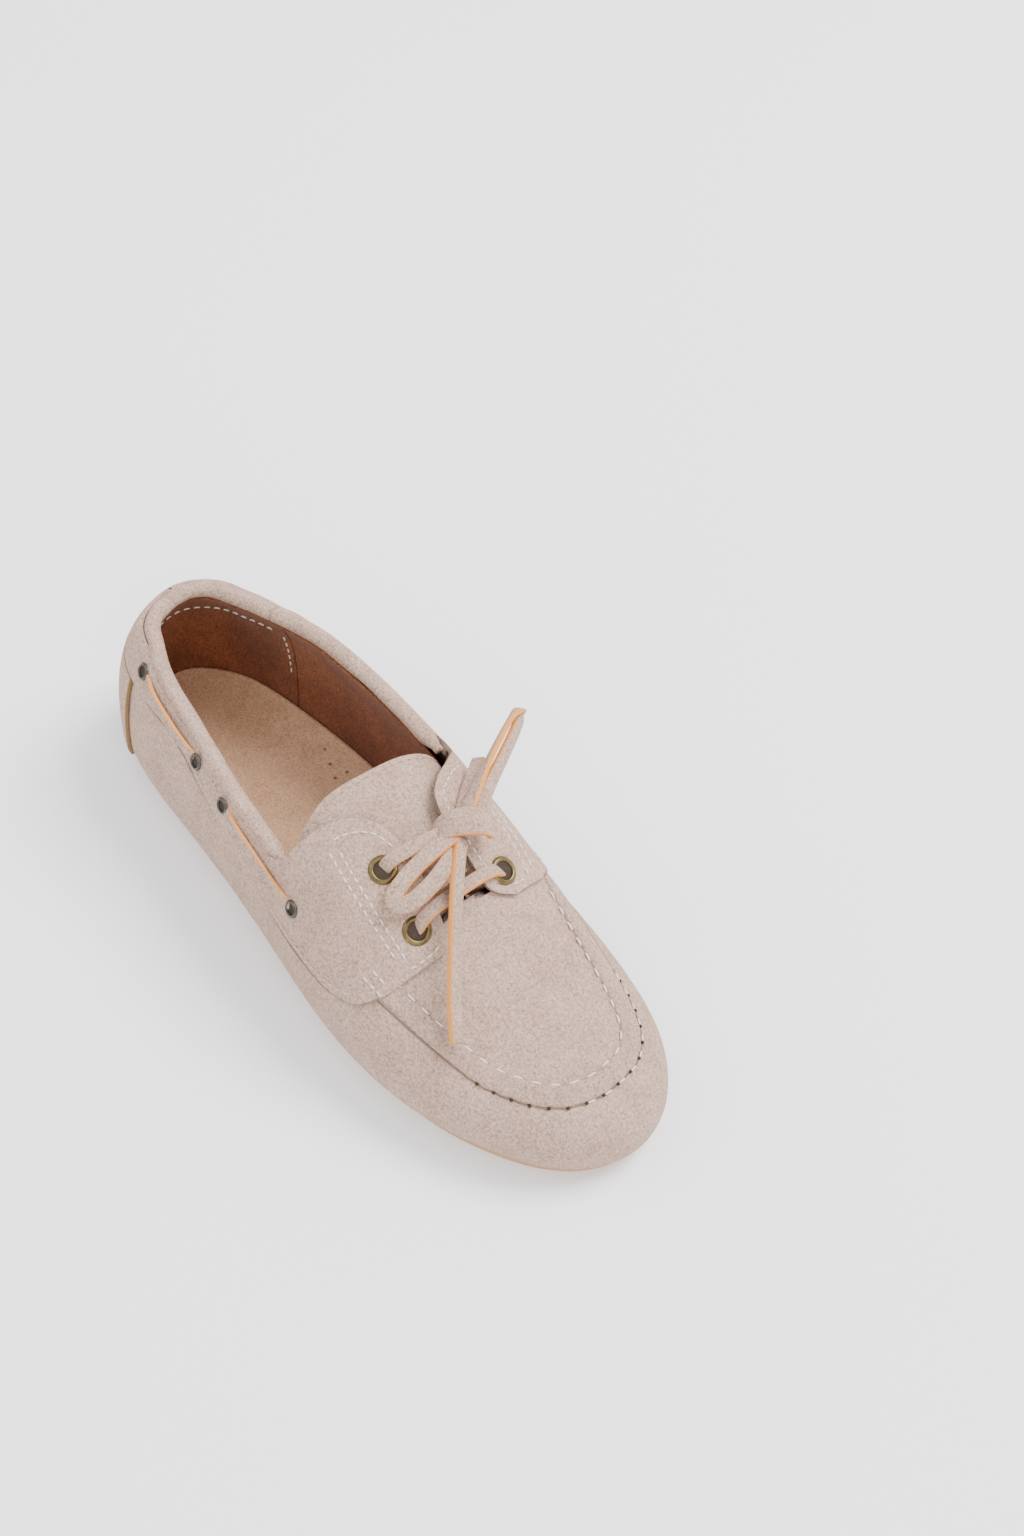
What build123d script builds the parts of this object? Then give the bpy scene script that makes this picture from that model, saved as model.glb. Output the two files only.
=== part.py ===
from build123d import *

import math
import os

import numpy as np

# Right-foot suede moccasin with boat lacing. Millimetres, +X towards the toe,
# +Y towards the wearer's other foot (medial side), +Z up, ground at z = 0.

# ---- driving dimensions ----
SPINE_Y = 4.0              # y of the line that all cross-section rays start from
HEEL_X = -92.0             # spine point that the heel rays fan out from
TOE_X = 84.0               # spine point that the toe rays fan out from
FAN_R = 32.0               # station length per radian inside the two fans
SHIFT_X = -1.4             # these two bring the middle of the finished shoe to the origin
SHIFT_Y = 0.4
SOLE_TOP = 3.0             # upper face of the gum sole
SUEDE = 1.4                # thickness of the suede panels
OVERLAY = 0.15             # gap between a panel and the one sewn on top of it
LINING_OUT = -4.1          # offset of the lining's outer face from the upper's face
LINING = 0.9               # lining thickness
FACING_OUT = -0.05         # offset of the eyestay facing's upper face
FACING = 0.9
PLUG_OUT = -1.1            # the plug lies a little below the seam ridge
TONGUE_OUT = -4.0          # the tongue lies below the lobes and the hidden lace
TONGUE_LINING = 0.8
HINGE_X = 38.0             # x of the seam that the tongue bends about
HINGE_GAP = 0.6
LACE_R = 1.1               # side lace: half its thickness, drawn as a round cord
BOW_R = 1.5                # bow lace, drawn as a round cord
FRONT_HOLE_R = 2.8
SIDE_HOLE_R = 1.8
FRONT_EYELET_R = 4.5
SIDE_EYELET_R = 2.9
HOLE_MARGIN = 0.5          # the holes in the suede are this much wider than the metal's bore
FOOTBED_TOP = 12.4

# Plan of the widest line of the upper, anticlockwise from the heel's back.
OUTLINE = [
    (-118, 4), (-111.5, -13.5), (-96, -24.3), (-60, -29.7), (-10, -35.2), (35, -41.3),
    (72, -38), (98, -28), (114.5, -15), (122, 2), (118.5, 18), (104, 31), (78, 38.7),
    (48, 40.5), (5, 37), (-40, 36.5), (-82, 31.8), (-101, 26), (-113.5, 16),
]
# Plan of the raised moccasin seam, from the lateral corner round the toe to the medial one.
SEAM = [
    (44, -29.5), (60, -26.5), (72, -24), (82, -21.5), (90.5, -18), (98.5, -13), (104.5, -5.5),
    (106.7, 3.5), (105.7, 12.5), (101.5, 19.5), (93, 24.7), (83, 28.2), (68, 31.5), (44, 36.2),
]
CROWN = [(-92, 66), (-82, 66.5), (-57, 69), (-37, 70), (-5, 67), (12, 64), (25, 60), (36, 54),
         (48, 46), (60, 40), (72, 35.5), (84, 32)]
BOXINESS = [(-92, 2.6), (-80, 2.9), (-37, 2.9), (-5, 2.8), (15, 2.5), (35, 2.35), (84, 2.3)]
LEAN = [(-92, 2), (-80, 3), (-57, 5), (-37, 4.5), (-5, 5), (24, 3.5), (48, 1), (84, 0)]
# Height of the top line along each side, as (x, z).
TOP_LATERAL = [(-92, 61), (-83, 59), (-63, 55), (-50, 53), (-26, 50), (-3, 48)]
TOP_MEDIAL = [(-92, 63), (-83, 63), (-57, 61.5), (-37, 60), (-16, 58), (-1, 56.5)]
EYELETS_FRONT = [(24.3, -10.1), (41.7, -12.3), (23.8, 23.0), (41.7, 20.2)]
EYELETS_SIDE = [(-86.5, 54.8), (-51.0, 48.4), (-33.4, 46.0), (8.1, 41.5)]   # (x, z)
ORIGIN = Location((SHIFT_X, SHIFT_Y, 0))


# ---- curves ----
def closed_spline(points, count=720):
    """Smooth closed curve through the points, as an array of plan points."""
    p = np.array(points, float)
    m = len(p)
    step = np.linalg.norm(np.roll(p, -1, 0) - p, axis=1) ** 0.5
    knot = np.concatenate([[0], np.cumsum(step)])
    a = np.zeros((m, m))
    b = np.zeros((m, 2))
    for i in range(m):
        j = (i + 1) % m
        a[i, i - 1] += step[i - 1]
        a[i, i] += 2 * (step[i - 1] + step[i])
        a[i, j] += step[i]
        b[i] = 6 * ((p[j] - p[i]) / step[i] - (p[i] - p[i - 1]) / step[i - 1])
    bend = np.linalg.solve(a, b)
    out = np.zeros((count, 2))
    for k, v in enumerate(np.linspace(0, knot[-1], count, endpoint=False)):
        i = min(np.searchsorted(knot, v, "right") - 1, m - 1)
        j = (i + 1) % m
        h = step[i]
        s, t = (knot[i + 1] - v) / h, (v - knot[i]) / h
        out[k] = s * p[i] + t * p[j]
        out[k] += ((s**3 - s) * bend[i] + (t**3 - t) * bend[j]) * h * h / 6
    return out


def smooth(points):
    """Shape-preserving cubic through (x, value) points, held level past its ends."""
    x, y = (np.array(c, float) for c in zip(*points))
    h = np.diff(x)
    d = np.diff(y) / h
    m = np.zeros(len(x))
    m[0], m[-1] = d[0], d[-1]
    for i in range(1, len(x) - 1):
        if d[i - 1] * d[i] > 0:
            w1, w2 = 2 * h[i] + h[i - 1], h[i] + 2 * h[i - 1]
            m[i] = (w1 + w2) / (w1 / d[i - 1] + w2 / d[i])

    def value(v):
        v = np.clip(np.asarray(v, float), x[0], x[-1])
        i = np.clip(np.searchsorted(x, v, "right") - 1, 0, len(x) - 2)
        t = (v - x[i]) / h[i]
        rise = (1 + 2 * t) * (1 - t) ** 2 * y[i] + t * t * (3 - 2 * t) * y[i + 1]
        return rise + h[i] * (t * (1 - t) ** 2 * m[i] + t * t * (t - 1) * m[i + 1])

    return value


OUTLINE_LINE = closed_spline(OUTLINE)
SEAM_LINE = np.array(SEAM, float)
crown, boxiness, lean = smooth(CROWN), smooth(BOXINESS), smooth(LEAN)
top_lateral, top_medial = smooth(TOP_LATERAL), smooth(TOP_MEDIAL)

# Stations run in mm round the shoe: heel back, lateral side, toe, medial side.
QUARTER = math.pi * FAN_R / 2
SIDE = TOE_X - HEEL_X
ROUND = 2 * SIDE + 4 * QUARTER


def lateral(x):
    return QUARTER + np.asarray(x, float) - HEEL_X


def medial(x):
    return 3 * QUARTER + SIDE + TOE_X - np.asarray(x, float)


def ray(station):
    """Spine point and outward plan direction of each station."""
    u = np.mod(np.asarray(station, float), ROUND)
    on_lateral = (u >= QUARTER) & (u < QUARTER + SIDE)
    on_toe = (u >= QUARTER + SIDE) & (u < 3 * QUARTER + SIDE)
    on_medial = (u >= 3 * QUARTER + SIDE) & (u < 3 * QUARTER + 2 * SIDE)
    x = np.full(u.shape, HEEL_X)
    angle = np.pi + u / FAN_R
    x = np.where(on_lateral, HEEL_X + u - QUARTER, x)
    angle = np.where(on_lateral, -np.pi / 2, angle)
    x = np.where(on_toe, TOE_X, x)
    angle = np.where(on_toe, (u - QUARTER - SIDE) / FAN_R - np.pi / 2, angle)
    x = np.where(on_medial, TOE_X - (u - 3 * QUARTER - SIDE), x)
    angle = np.where(on_medial, np.pi / 2, angle)
    angle = np.where(u >= 3 * QUARTER + 2 * SIDE, (u - ROUND) / FAN_R + np.pi, angle)
    return x, np.cos(angle), np.sin(angle)


def reach(x, cx, cy, line, closed=True):
    """Distance along each ray to the line."""
    a, b = (line, np.roll(line, -1, 0)) if closed else (line[:-1], line[1:])
    out = np.zeros(np.shape(x))
    for k in np.ndindex(np.shape(x)):
        side_a = cx[k] * (a[:, 1] - SPINE_Y) - cy[k] * (a[:, 0] - x[k])
        side_b = cx[k] * (b[:, 1] - SPINE_Y) - cy[k] * (b[:, 0] - x[k])
        for i in np.where(side_a * side_b <= 0)[0]:
            w = side_a[i] / (side_a[i] - side_b[i] + 1e-12)
            hit = a[i] + w * (b[i] - a[i])
            length = (hit[0] - x[k]) * cx[k] + (hit[1] - SPINE_Y) * cy[k]
            if length > 0:
                out[k] = length
    return out


STATIONS = np.linspace(0, ROUND, 1401)
REACH_TABLE = reach(*ray(STATIONS), OUTLINE_LINE)


def half_width(u):
    return np.interp(np.mod(u, ROUND), STATIONS, REACH_TABLE)


def section(u):
    """Sizes of the cross-section at each station."""
    x, cx, cy = ray(u)
    toe = np.where(x >= TOE_X - 1e-6, np.clip(cx, 0, 1), 0) ** 2
    heel = np.where(x <= HEEL_X + 1e-6, np.clip(-cx, 0, 1), 0) ** 2
    widest = 14 - 3 * toe + 2 * heel
    tuck = 9 - 4.5 * toe
    return x, cx, cy, half_width(u), crown(x), boxiness(x), widest, tuck, heel


def bare(u, turn):
    """Face of the upper. turn runs from -pi/2 (sole edge) through 0 (widest) to pi/2 (crown)."""
    x, cx, cy, wide, high, box, widest, tuck, heel = section(u)
    up = np.clip(turn, 0, math.pi / 2)
    down = np.clip(-turn, 0, math.pi / 2)
    share = np.clip(np.cos(up), 0, 1) ** (2 / box)
    d = wide * share - tuck * (1 - np.cos(down))
    z = widest + (high - widest) * np.sin(up) ** (2 / box)
    z = np.where(turn < 0, widest - (widest - SOLE_TOP) * np.sin(down), z)
    rise = np.clip((z - widest) / 45, 0, 1.2)
    return np.stack(
        [x + cx * d + 3 * heel * rise**1.5, SPINE_Y + cy * d + lean(x) * rise, z], -1
    )


def skin(u, turn, offset=0.0):
    """Points at a distance outside (+) or inside (-) the face of the upper."""
    u, turn = np.broadcast_arrays(np.asarray(u, float), np.asarray(turn, float))
    along = bare(u + 0.5, turn) - bare(u - 0.5, turn)
    high = np.minimum(turn + 0.01, math.pi / 2 - 1e-4)
    across = bare(u, high) - bare(u, high - 0.02)
    normal = np.cross(along, across)
    normal /= np.linalg.norm(normal, axis=-1, keepdims=True)
    return bare(u, turn) + normal * np.asarray(offset, float)[..., None]


def turn_at_height(u, z):
    _, _, _, _, high, box, widest, _, _ = section(u)
    share = np.clip((z - widest) / (high - widest), 0, 1)
    return np.arcsin(share ** (box / 2))


def turn_at_plan(u, distance):
    share = np.clip(distance / half_width(u), 0, 1)
    return np.arccos(share ** (section(u)[5] / 2))


def locate(x, y):
    """Station and turn of the skin point above a plan point."""
    x, y = np.broadcast_arrays(np.asarray(x, float), np.asarray(y, float))
    flat = y.copy()
    for _ in range(6):
        in_toe = x > TOE_X
        fan = np.arctan2(flat - SPINE_Y, x - TOE_X)
        u = np.where(flat < SPINE_Y, lateral(x), medial(x))
        u = np.where(in_toe, QUARTER + SIDE + (fan + math.pi / 2) * FAN_R, u)
        far = np.where(in_toe, np.hypot(x - TOE_X, flat - SPINE_Y), abs(flat - SPINE_Y))
        turn = turn_at_plan(u, far)
        z = bare(u, turn)[..., 2]
        flat = y - lean(x) * np.clip((z - 14) / 45, 0, 1.2)
    return u, turn


def over(x, y, offset=0.0):
    """Point of the skin above a plan point, raised by the offset along z."""
    point = bare(*locate(x, y))
    point[..., 0], point[..., 1] = x, y
    point[..., 2] += offset
    return point


# ---- solids from point grids ----
def face_of(grid):
    """Smooth face within 0.03 mm of every grid point."""
    rows = [[tuple(p) for p in row] for row in grid]
    return Face.make_surface_from_array_of_points(rows, tol=0.03)


def slab(outer, inner):
    """Closed solid between two grids of points with matching borders."""
    a, b = face_of(outer), face_of(inner)
    walls = []
    for edge in a.edges():
        twin = min(b.edges(), key=lambda e: ((e @ 0.5) - (edge @ 0.5)).length)
        walls.append(Face.make_surface_from_curves(edge, twin))
    solid = Solid(Shell([a, b] + walls))
    return solid if solid.volume > 0 else Solid(solid.wrapped.Reversed())


def strip_slab(outer, inner):
    """Closed solid of ruled strips, one strip per pair of columns; for long walls round the toe."""
    def column(grid, i):
        return Edge.make_spline([Vector(*map(float, row[i])) for row in grid])

    def rail(grid, row, i):
        return Edge.make_line(Vector(*map(float, grid[row][i])), Vector(*map(float, grid[row][i + 1])))

    count = len(outer[0])
    out_edges = [column(outer, i) for i in range(count)]
    in_edges = [column(inner, i) for i in range(count)]
    faces = [Face.make_surface_from_curves(out_edges[k], in_edges[k]) for k in (0, count - 1)]
    for i in range(count - 1):
        faces.append(Face.make_surface_from_curves(out_edges[i], out_edges[i + 1]))
        faces.append(Face.make_surface_from_curves(in_edges[i], in_edges[i + 1]))
        for row in (0, len(outer) - 1):
            faces.append(Face.make_surface_from_curves(rail(outer, row, i), rail(inner, row, i)))
    solid = Solid(Shell(faces))
    return solid if solid.volume > 0 else Solid(solid.wrapped.Reversed())


def panel(stations, low, high, outer, inner, rows=9, build=slab):
    """Sheet of the skin between two turn curves."""
    share = np.linspace(0, 1, rows)[:, None]
    turn = low[None, :] * (1 - share) + high[None, :] * share
    u = np.broadcast_to(stations, turn.shape)
    return build(skin(u, turn, outer), skin(u, turn, inner))


def barrel(centre, side, up, half_wide, half_high):
    """Rounded bar along a line of centres, given its side and up directions."""
    angle = np.radians(np.linspace(-65, 65, 7))[:, None, None]
    arc_side, arc_up = np.sin(angle) * half_wide, np.cos(angle) * half_high
    top = centre[None] + side[None] * arc_side + up[None] * arc_up
    bottom = centre[None] + side[None] * arc_side - up[None] * arc_up
    return slab(top, bottom)


def prism(inset, low, high, count=40):
    """Flat layer that follows the outline at a constant distance inside it."""
    u = np.linspace(0, ROUND, count, endpoint=False)
    x, cx, cy = ray(u)
    d = half_width(u) - inset(u)
    points = [(float(px), float(py)) for px, py in zip(x + cx * d, SPINE_Y + cy * d)]
    edge = Spline(*points, periodic=True)
    return extrude(Pos(0, 0, low) * make_face(edge), high - low)


def shell_patch(west, east, outer, inner, rows=13):
    """Sheet over the plan region between two rows of plan points."""
    share = np.linspace(0, 1, rows)[:, None, None]
    plan = west[None] * (1 - share) + east[None] * share
    x, y = plan[..., 0], plan[..., 1]
    return slab(over(x, y, outer), over(x, y, inner))


# ---- seam and top-line curves ----
def seam_turn(u, inside=0.0):
    x, cx, cy = ray(u)
    return turn_at_plan(u, reach(x, cx, cy, SEAM_LINE, closed=False) - inside)


def top_height(u):
    """Height of the top line at a rear station, on either side or round the heel."""
    w = np.mod(np.asarray(u, float) + ROUND / 2, ROUND) - ROUND / 2
    x = ray(u)[0]
    blend = np.clip((w + QUARTER) / (2 * QUARTER), 0, 1)
    heel = top_medial(HEEL_X) * (1 - blend) + top_lateral(HEEL_X) * blend
    side = np.where(w > 0, top_lateral(x), top_medial(x))
    return np.where(abs(w) < QUARTER, heel, side)


LAT_FRONT_X, MED_FRONT_X = -3.0, -1.0      # where the collar roll ends on each side
CORNER_X = 46.0                            # seam corner, under the lobes' front edge
WRAP_HIDDEN_LAT = smooth([(-3, 44), (20, 40.5), (46, 38)])
WRAP_HIDDEN_MED = smooth([(-1, 52), (20, 44), (46, 35.5)])
TOP_TUCK = 1.8             # panels end this far below the top line, inside the collar roll


def wrap_top(u):
    """Turn of the wrap's upper edge at one station."""
    w = (u + ROUND / 2) % ROUND - ROUND / 2
    x = float(ray(u)[0])
    side_lat = w > 0
    front = LAT_FRONT_X if side_lat else MED_FRONT_X
    seam_turns = float(seam_turn(np.array([u]), -1.5)[0]) if x > CORNER_X else 0.0
    if x > CORNER_X:
        return seam_turns
    if x > front:
        hidden = WRAP_HIDDEN_LAT if side_lat else WRAP_HIDDEN_MED
        return float(turn_at_height(u, hidden(x)))
    return float(turn_at_height(u, top_height(u) - TOP_TUCK))


# ---- holes ----
def skin_frame(u, turn):
    """Point of the skin and its outward normal."""
    point = skin(u, turn)
    normal = skin(u, turn, 1.0) - point
    return Vector(*[float(c) for c in point]), Vector(*[float(c) for c in normal])


def front_eyelet_frames():
    return [skin_frame(*locate(x, y)) for x, y in EYELETS_FRONT]


def side_eyelet_frames(station_of):
    frames = []
    for x, z in EYELETS_SIDE:
        u = station_of(x)
        frames.append(skin_frame(u, turn_at_height(u, z + side_rise(station_of))))
    return frames


def side_rise(station_of):
    """The medial eyelet row stands a little lower than the lateral one."""
    return 0.0 if station_of is lateral else -3.0


def hole_cutters(frames, radius):
    return [
        Plane(origin=p, z_dir=n) * Cylinder(radius, 12) for p, n in frames
    ]


def eyelet(frame, hole_r, flange_r, depth):
    """Rolled metal ring with a short barrel, its hole through the whole."""
    point, normal = frame
    top = SUEDE + OVERLAY
    profile = Polyline(
        (hole_r, -depth), (hole_r + 0.35, -depth), (hole_r + 0.35, top),
        (flange_r, top), (flange_r, top + 0.25), (flange_r - 0.55, top + 0.8),
        (hole_r + 0.5, top + 0.8), (hole_r, top + 0.3), close=True,
    )
    ring = revolve(Plane.XZ * make_face(profile), Axis.Z)
    return Plane(origin=point, z_dir=normal) * ring


# ---- panels ----
def make_wrap():
    u = np.linspace(1.0, ROUND - 1.0, 110)
    high = np.array([wrap_top(v) for v in u])
    low = np.full(u.shape, -math.pi / 2 + 0.02)
    body = panel(u, low, high, 0.0, -SUEDE, rows=11, build=strip_slab)
    for station_of in (lateral, medial):
        for cutter in hole_cutters(side_eyelet_frames(station_of), SIDE_HOLE_R + HOLE_MARGIN):
            body -= cutter
    return body


def seam_curve(count=60):
    u = np.linspace(float(lateral(CORNER_X)), float(medial(CORNER_X)), count)
    return u, seam_turn(u)


def make_seam_welt():
    u, turn = seam_curve()
    point = skin(u, turn, -0.6)
    up = skin(u, turn, 1.0) - skin(u, turn)
    along = np.gradient(point, axis=0)
    side = np.cross(along, up)
    side /= np.linalg.norm(side, axis=1, keepdims=True)
    return barrel(point, side, up, 2.6, 1.6)


def plug_border(inside):
    """West (lateral) and east (medial) plan borders of the plug, rear to toe."""
    line = closed_spline_open(SEAM, 200)
    centre = np.array([75.0, SPINE_Y])
    shrink = line - centre
    line = centre + shrink * (1 - inside / np.linalg.norm(shrink, axis=1, keepdims=True))
    tip = int(np.argmax(line[:, 0]))
    return line, tip


def closed_spline_open(points, count):
    """Open smooth curve through plan points."""
    p = np.array(points, float)
    step = np.concatenate([[0], np.cumsum(np.linalg.norm(np.diff(p, axis=0), axis=1))])
    t = np.linspace(0, step[-1], count)
    fx = smooth(list(zip(step, p[:, 0])))
    fy = smooth(list(zip(step, p[:, 1])))
    return np.stack([fx(t), fy(t)], -1)


def plug_rows(inside, rear_x, cols=26):
    line, tip = plug_border(inside)
    margin = 26
    west, east = line[: tip - margin], line[tip + margin:][::-1]
    rows_w = resample(trim_rear(west, rear_x), cols)
    rows_e = resample(trim_rear(east, rear_x), cols)
    nose = resample(line[tip - margin - 1: tip + margin + 1], 13)
    return rows_w, rows_e, nose


def trim_rear(line, rear_x):
    first = line[0] + (line[1] - line[0]) * (rear_x - line[0, 0]) / (line[1, 0] - line[0, 0])
    keep = line[line[:, 0] > rear_x + 0.5]
    return np.vstack([first, keep])


def resample(line, count):
    step = np.concatenate([[0], np.cumsum(np.linalg.norm(np.diff(line, axis=0), axis=1))])
    t = np.linspace(0, step[-1], count)
    return np.stack([np.interp(t, step, line[:, 0]), np.interp(t, step, line[:, 1])], -1)


def nosed_patch(inside, rear_x, outer, inner):
    """Coons patch over the plug's plan: rear edge, two sides and rounded nose."""
    west, east, nose = plug_rows(inside, rear_x)
    n, m = len(west), len(nose)
    s = np.linspace(0, 1, n)[:, None, None]
    t = np.linspace(0, 1, m)[None, :, None]
    rear = west[0] * (1 - t) + east[0] * t
    plan = west[:, None] * (1 - t) + east[:, None] * t + rear * (1 - s) + nose[None] * s
    plan -= (west[0] * (1 - t) + east[0] * t) * (1 - s) + (west[-1] * (1 - t) + east[-1] * t) * s
    x, y = plan[..., 0], plan[..., 1]
    return slab(over(x, y, outer), over(x, y, inner))


def make_plug():
    return nosed_patch(2.8, HINGE_X + HINGE_GAP, PLUG_OUT, PLUG_OUT - SUEDE)


def make_plug_lining():
    return nosed_patch(4.0, HINGE_X + HINGE_GAP, PLUG_OUT - 1.7, PLUG_OUT - 2.5)


TONGUE_LAT = [(-5.5, -15), (4, -17.5), (20, -18), (HINGE_X - HINGE_GAP, -17)]
TONGUE_MED = [(-4.5, 26), (4, 27.5), (20, 26.5), (HINGE_X - HINGE_GAP, 24)]


def tongue_patch(outer, inner):
    """The tongue is lowest behind and rises to the plug at its front seam."""
    west = closed_spline_open(TONGUE_LAT, 16)
    east = closed_spline_open(TONGUE_MED, 16)
    share = np.linspace(0, 1, 11)[:, None, None]
    plan = west[None] * (1 - share) + east[None] * share
    u, turn = locate(plan[..., 0], plan[..., 1])
    ramp = np.clip((HINGE_X - plan[..., 0]) / 10, 0, 1)
    sink = TONGUE_OUT * ramp + (PLUG_OUT - 0.1) * (1 - ramp)
    return slab(skin(u, turn, sink + outer), skin(u, turn, sink + inner))


def make_tongue():
    return tongue_patch(0.0, -SUEDE)


def make_tongue_lining():
    return tongue_patch(-SUEDE - 0.1, -SUEDE - 0.1 - TONGUE_LINING)


# Upper and inner edge of each saddle piece ahead of the collar, in plan.
LOBE_LAT = [(-3, -26.5), (2, -15.5), (6.6, -8), (13.2, -3), (23.2, -1.5), (35, -2.6), (45, -5),
            (50.8, -9.5)]
LOBE_MED = [(-1, 34.5), (5.2, 29.5), (11.3, 20.5), (15.9, 16), (24, 13.5), (35, 12.8), (43.6, 13),
            (46.3, 15.2), (48.6, 19.5)]
# Height of the saddle's lower edge along each side, as (x, z).
LOW_LATERAL = smooth([(-92, 48.5), (-82, 48.4), (-68, 47.5), (-56.5, 44.8), (-46.8, 41.8), (-32, 38),
                      (-13.6, 33.5), (11, 30), (27, 30.5), (39, 32.6), (43.5, 34.2), (46.9, 37)])
LOW_MEDIAL = smooth([(-92, 48.5), (-82, 48), (-68, 45.5), (-51, 41), (-13, 36), (11, 32), (30, 30.5),
                     (39, 32), (43.5, 34.5), (46, 38)])


def walk(station_of, distance):
    """Station at a distance from the heel's back, along either side."""
    return distance if station_of is lateral else ROUND - distance


def saddle_grid(station_of, lobe, low, front_low, front_high):
    """Station and turn grids of a saddle piece: band from the heel's back, and lobe, in one."""
    plan = np.array(lobe, float)
    turn_edge = locate(plan[:, 0], plan[:, 1])[1]
    band = np.array([0.5, 15, 32, 50, 72, 92, 112, 132])
    band_turn = turn_at_height(band, top_height(walk(station_of, band)) - TOP_TUCK)
    start = QUARTER - HEEL_X
    upper = smooth(list(zip(np.r_[band, plan[:, 0] + start], np.r_[band_turn, turn_edge])))
    under = np.linspace(0.5, start + front_low, 60)
    lower = smooth(list(zip(under, turn_at_height(under, low(ray(under)[0])))))
    a = np.linspace(0, 1, 72)[None, :]
    b = np.linspace(0, 1, 15)[:, None]
    front = start + front_low + (front_high - front_low) * b**0.6
    at_low = 0.5 + a * (start + front_low - 0.5) + 0 * b
    at_high = 0.5 + a * (start + front_high - 0.5) + 0 * b
    here = 0.5 + a * (front - 0.5)
    return walk(station_of, here), lower(at_low) * (1 - b) + upper(at_high) * b


def make_saddle(station_of):
    lobe, low, ends = (
        (LOBE_LAT, LOW_LATERAL, (46.9, 50.8)) if station_of is lateral
        else (LOBE_MED, LOW_MEDIAL, (46.0, 48.6))
    )
    u, turn = saddle_grid(station_of, lobe, low, *ends)
    body = slab(skin(u, turn, OVERLAY + SUEDE), skin(u, turn, OVERLAY))
    for cutter in hole_cutters(side_eyelet_frames(station_of), SIDE_HOLE_R + HOLE_MARGIN):
        body -= cutter
    for cutter in hole_cutters(front_eyelets_of(station_of), FRONT_HOLE_R + HOLE_MARGIN):
        body -= cutter
    return body


def front_eyelets_of(station_of):
    frames = front_eyelet_frames()
    return frames[:2] if station_of is lateral else frames[2:]


def make_facing(station_of):
    """Lining strip under the eyelets of one lobe."""
    edges = ([(4, -16), (12, -6), (24, -3.5), (35, -5), (44, -8)],
             [(4, -22), (12, -18), (24, -18.5), (35, -20.5), (44, -22)])
    if station_of is medial:
        edges = ([(6, 29), (13, 20), (24, 15.5), (35, 15), (43, 16)],
                 [(6, 31), (13, 29.5), (24, 29), (35, 28), (43, 27)])
    inner, outer = (closed_spline_open(e, 18) for e in edges)
    body = shell_patch(inner, outer, FACING_OUT, FACING_OUT - FACING, rows=7)
    for cutter in hole_cutters(front_eyelets_of(station_of), FRONT_HOLE_R + HOLE_MARGIN):
        body -= cutter
    return body


def make_collar():
    """Padded roll along the top line, from the lateral front round the heel to the medial front."""
    u = np.linspace(float(medial(MED_FRONT_X)) - ROUND, float(lateral(LAT_FRONT_X)), 90)
    turn = turn_at_height(u, top_height(u))
    centre = skin(u, turn, -1.4)
    up = skin(u, turn + 0.02) - skin(u, turn)
    up /= np.linalg.norm(up, axis=1, keepdims=True)
    out = skin(u, turn, 1.0) - skin(u, turn)
    centre = centre - up * 0.3
    return barrel(centre, out, up, 2.6, 2.35)


def make_lining(start, end, rows=9):
    u = np.linspace(start, end, 40)
    low = np.full(u.shape, -0.75)
    high = turn_at_height(u, top_height(u) - 4.2)
    return panel(u, low, high, LINING_OUT, LINING_OUT - LINING, rows)


LINING_SEAM_X = -74.0      # vertical seam between the heel lining and each side lining
GAP = 0.4


def make_lining_heel():
    start = float(medial(LINING_SEAM_X)) - ROUND + GAP
    return make_lining(start, float(lateral(LINING_SEAM_X)) - GAP)


def make_side_lining(station_of):
    """Side lining, down to the seam with the vamp lining under the eyelets."""
    start, end = sorted((float(station_of(LINING_SEAM_X)), float(station_of(-1.5))))
    return make_lining(start, end)


def make_vamp_lining():
    """Lining of the forepart's walls, below the plug and the hidden edge of the wrap."""
    u = np.linspace(float(lateral(-1.0)), float(medial(-1.0)), 90)
    low = np.full(u.shape, -0.75)
    high = np.array([wrap_top(v) for v in u]) - 0.12
    return panel(u, low, high, LINING_OUT, LINING_OUT - LINING, rows=9, build=strip_slab)


def make_heel_patch():
    """Overlay on the heel's back, from the saddles' lower edge down to the sole."""
    u = np.linspace(1 - QUARTER, QUARTER - 1, 40)
    low = np.full(u.shape, -0.85)
    high = turn_at_height(u, 47.8 + 0 * u)
    return panel(u, low, high, OVERLAY + SUEDE, OVERLAY, rows=9)


def make_heel_counter():
    edge = float(lateral(-72.0))
    u = np.linspace(-edge, edge, 36)
    low = np.full(u.shape, -0.6)
    high = turn_at_height(u, np.full(u.shape, 42.0))
    return panel(u, low, high, -1.7, -3.4, rows=7)


# ---- bottom ----
def toe_share(u):
    x, cx, _ = ray(u)
    forepart = np.clip((x - 50) / (TOE_X - 50), 0, 1)
    return forepart * np.where(x >= TOE_X - 1e-6, 0.55 + 0.45 * np.clip(cx, 0, 1), 0.55)


def make_outsole():
    return prism(lambda u: 5.0 - 1.3 * toe_share(u), 0.0, SOLE_TOP - 0.05)


def make_insole_board():
    return prism(lambda u: 10.6 + 0 * u, 4.7, 6.1)


def make_footbed_foam():
    return prism(lambda u: 8.2 + 0 * u, 6.2, FOOTBED_TOP - 1.5)


def make_footbed_cover():
    return prism(lambda u: 5.9 + 0 * u, FOOTBED_TOP - 1.4, FOOTBED_TOP)


def make_filler():
    """Cork and foam filler between the wrap's turned-in margin and under the board."""
    return prism(lambda u: 12.5 + 0 * u, SOLE_TOP, 4.6)


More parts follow.
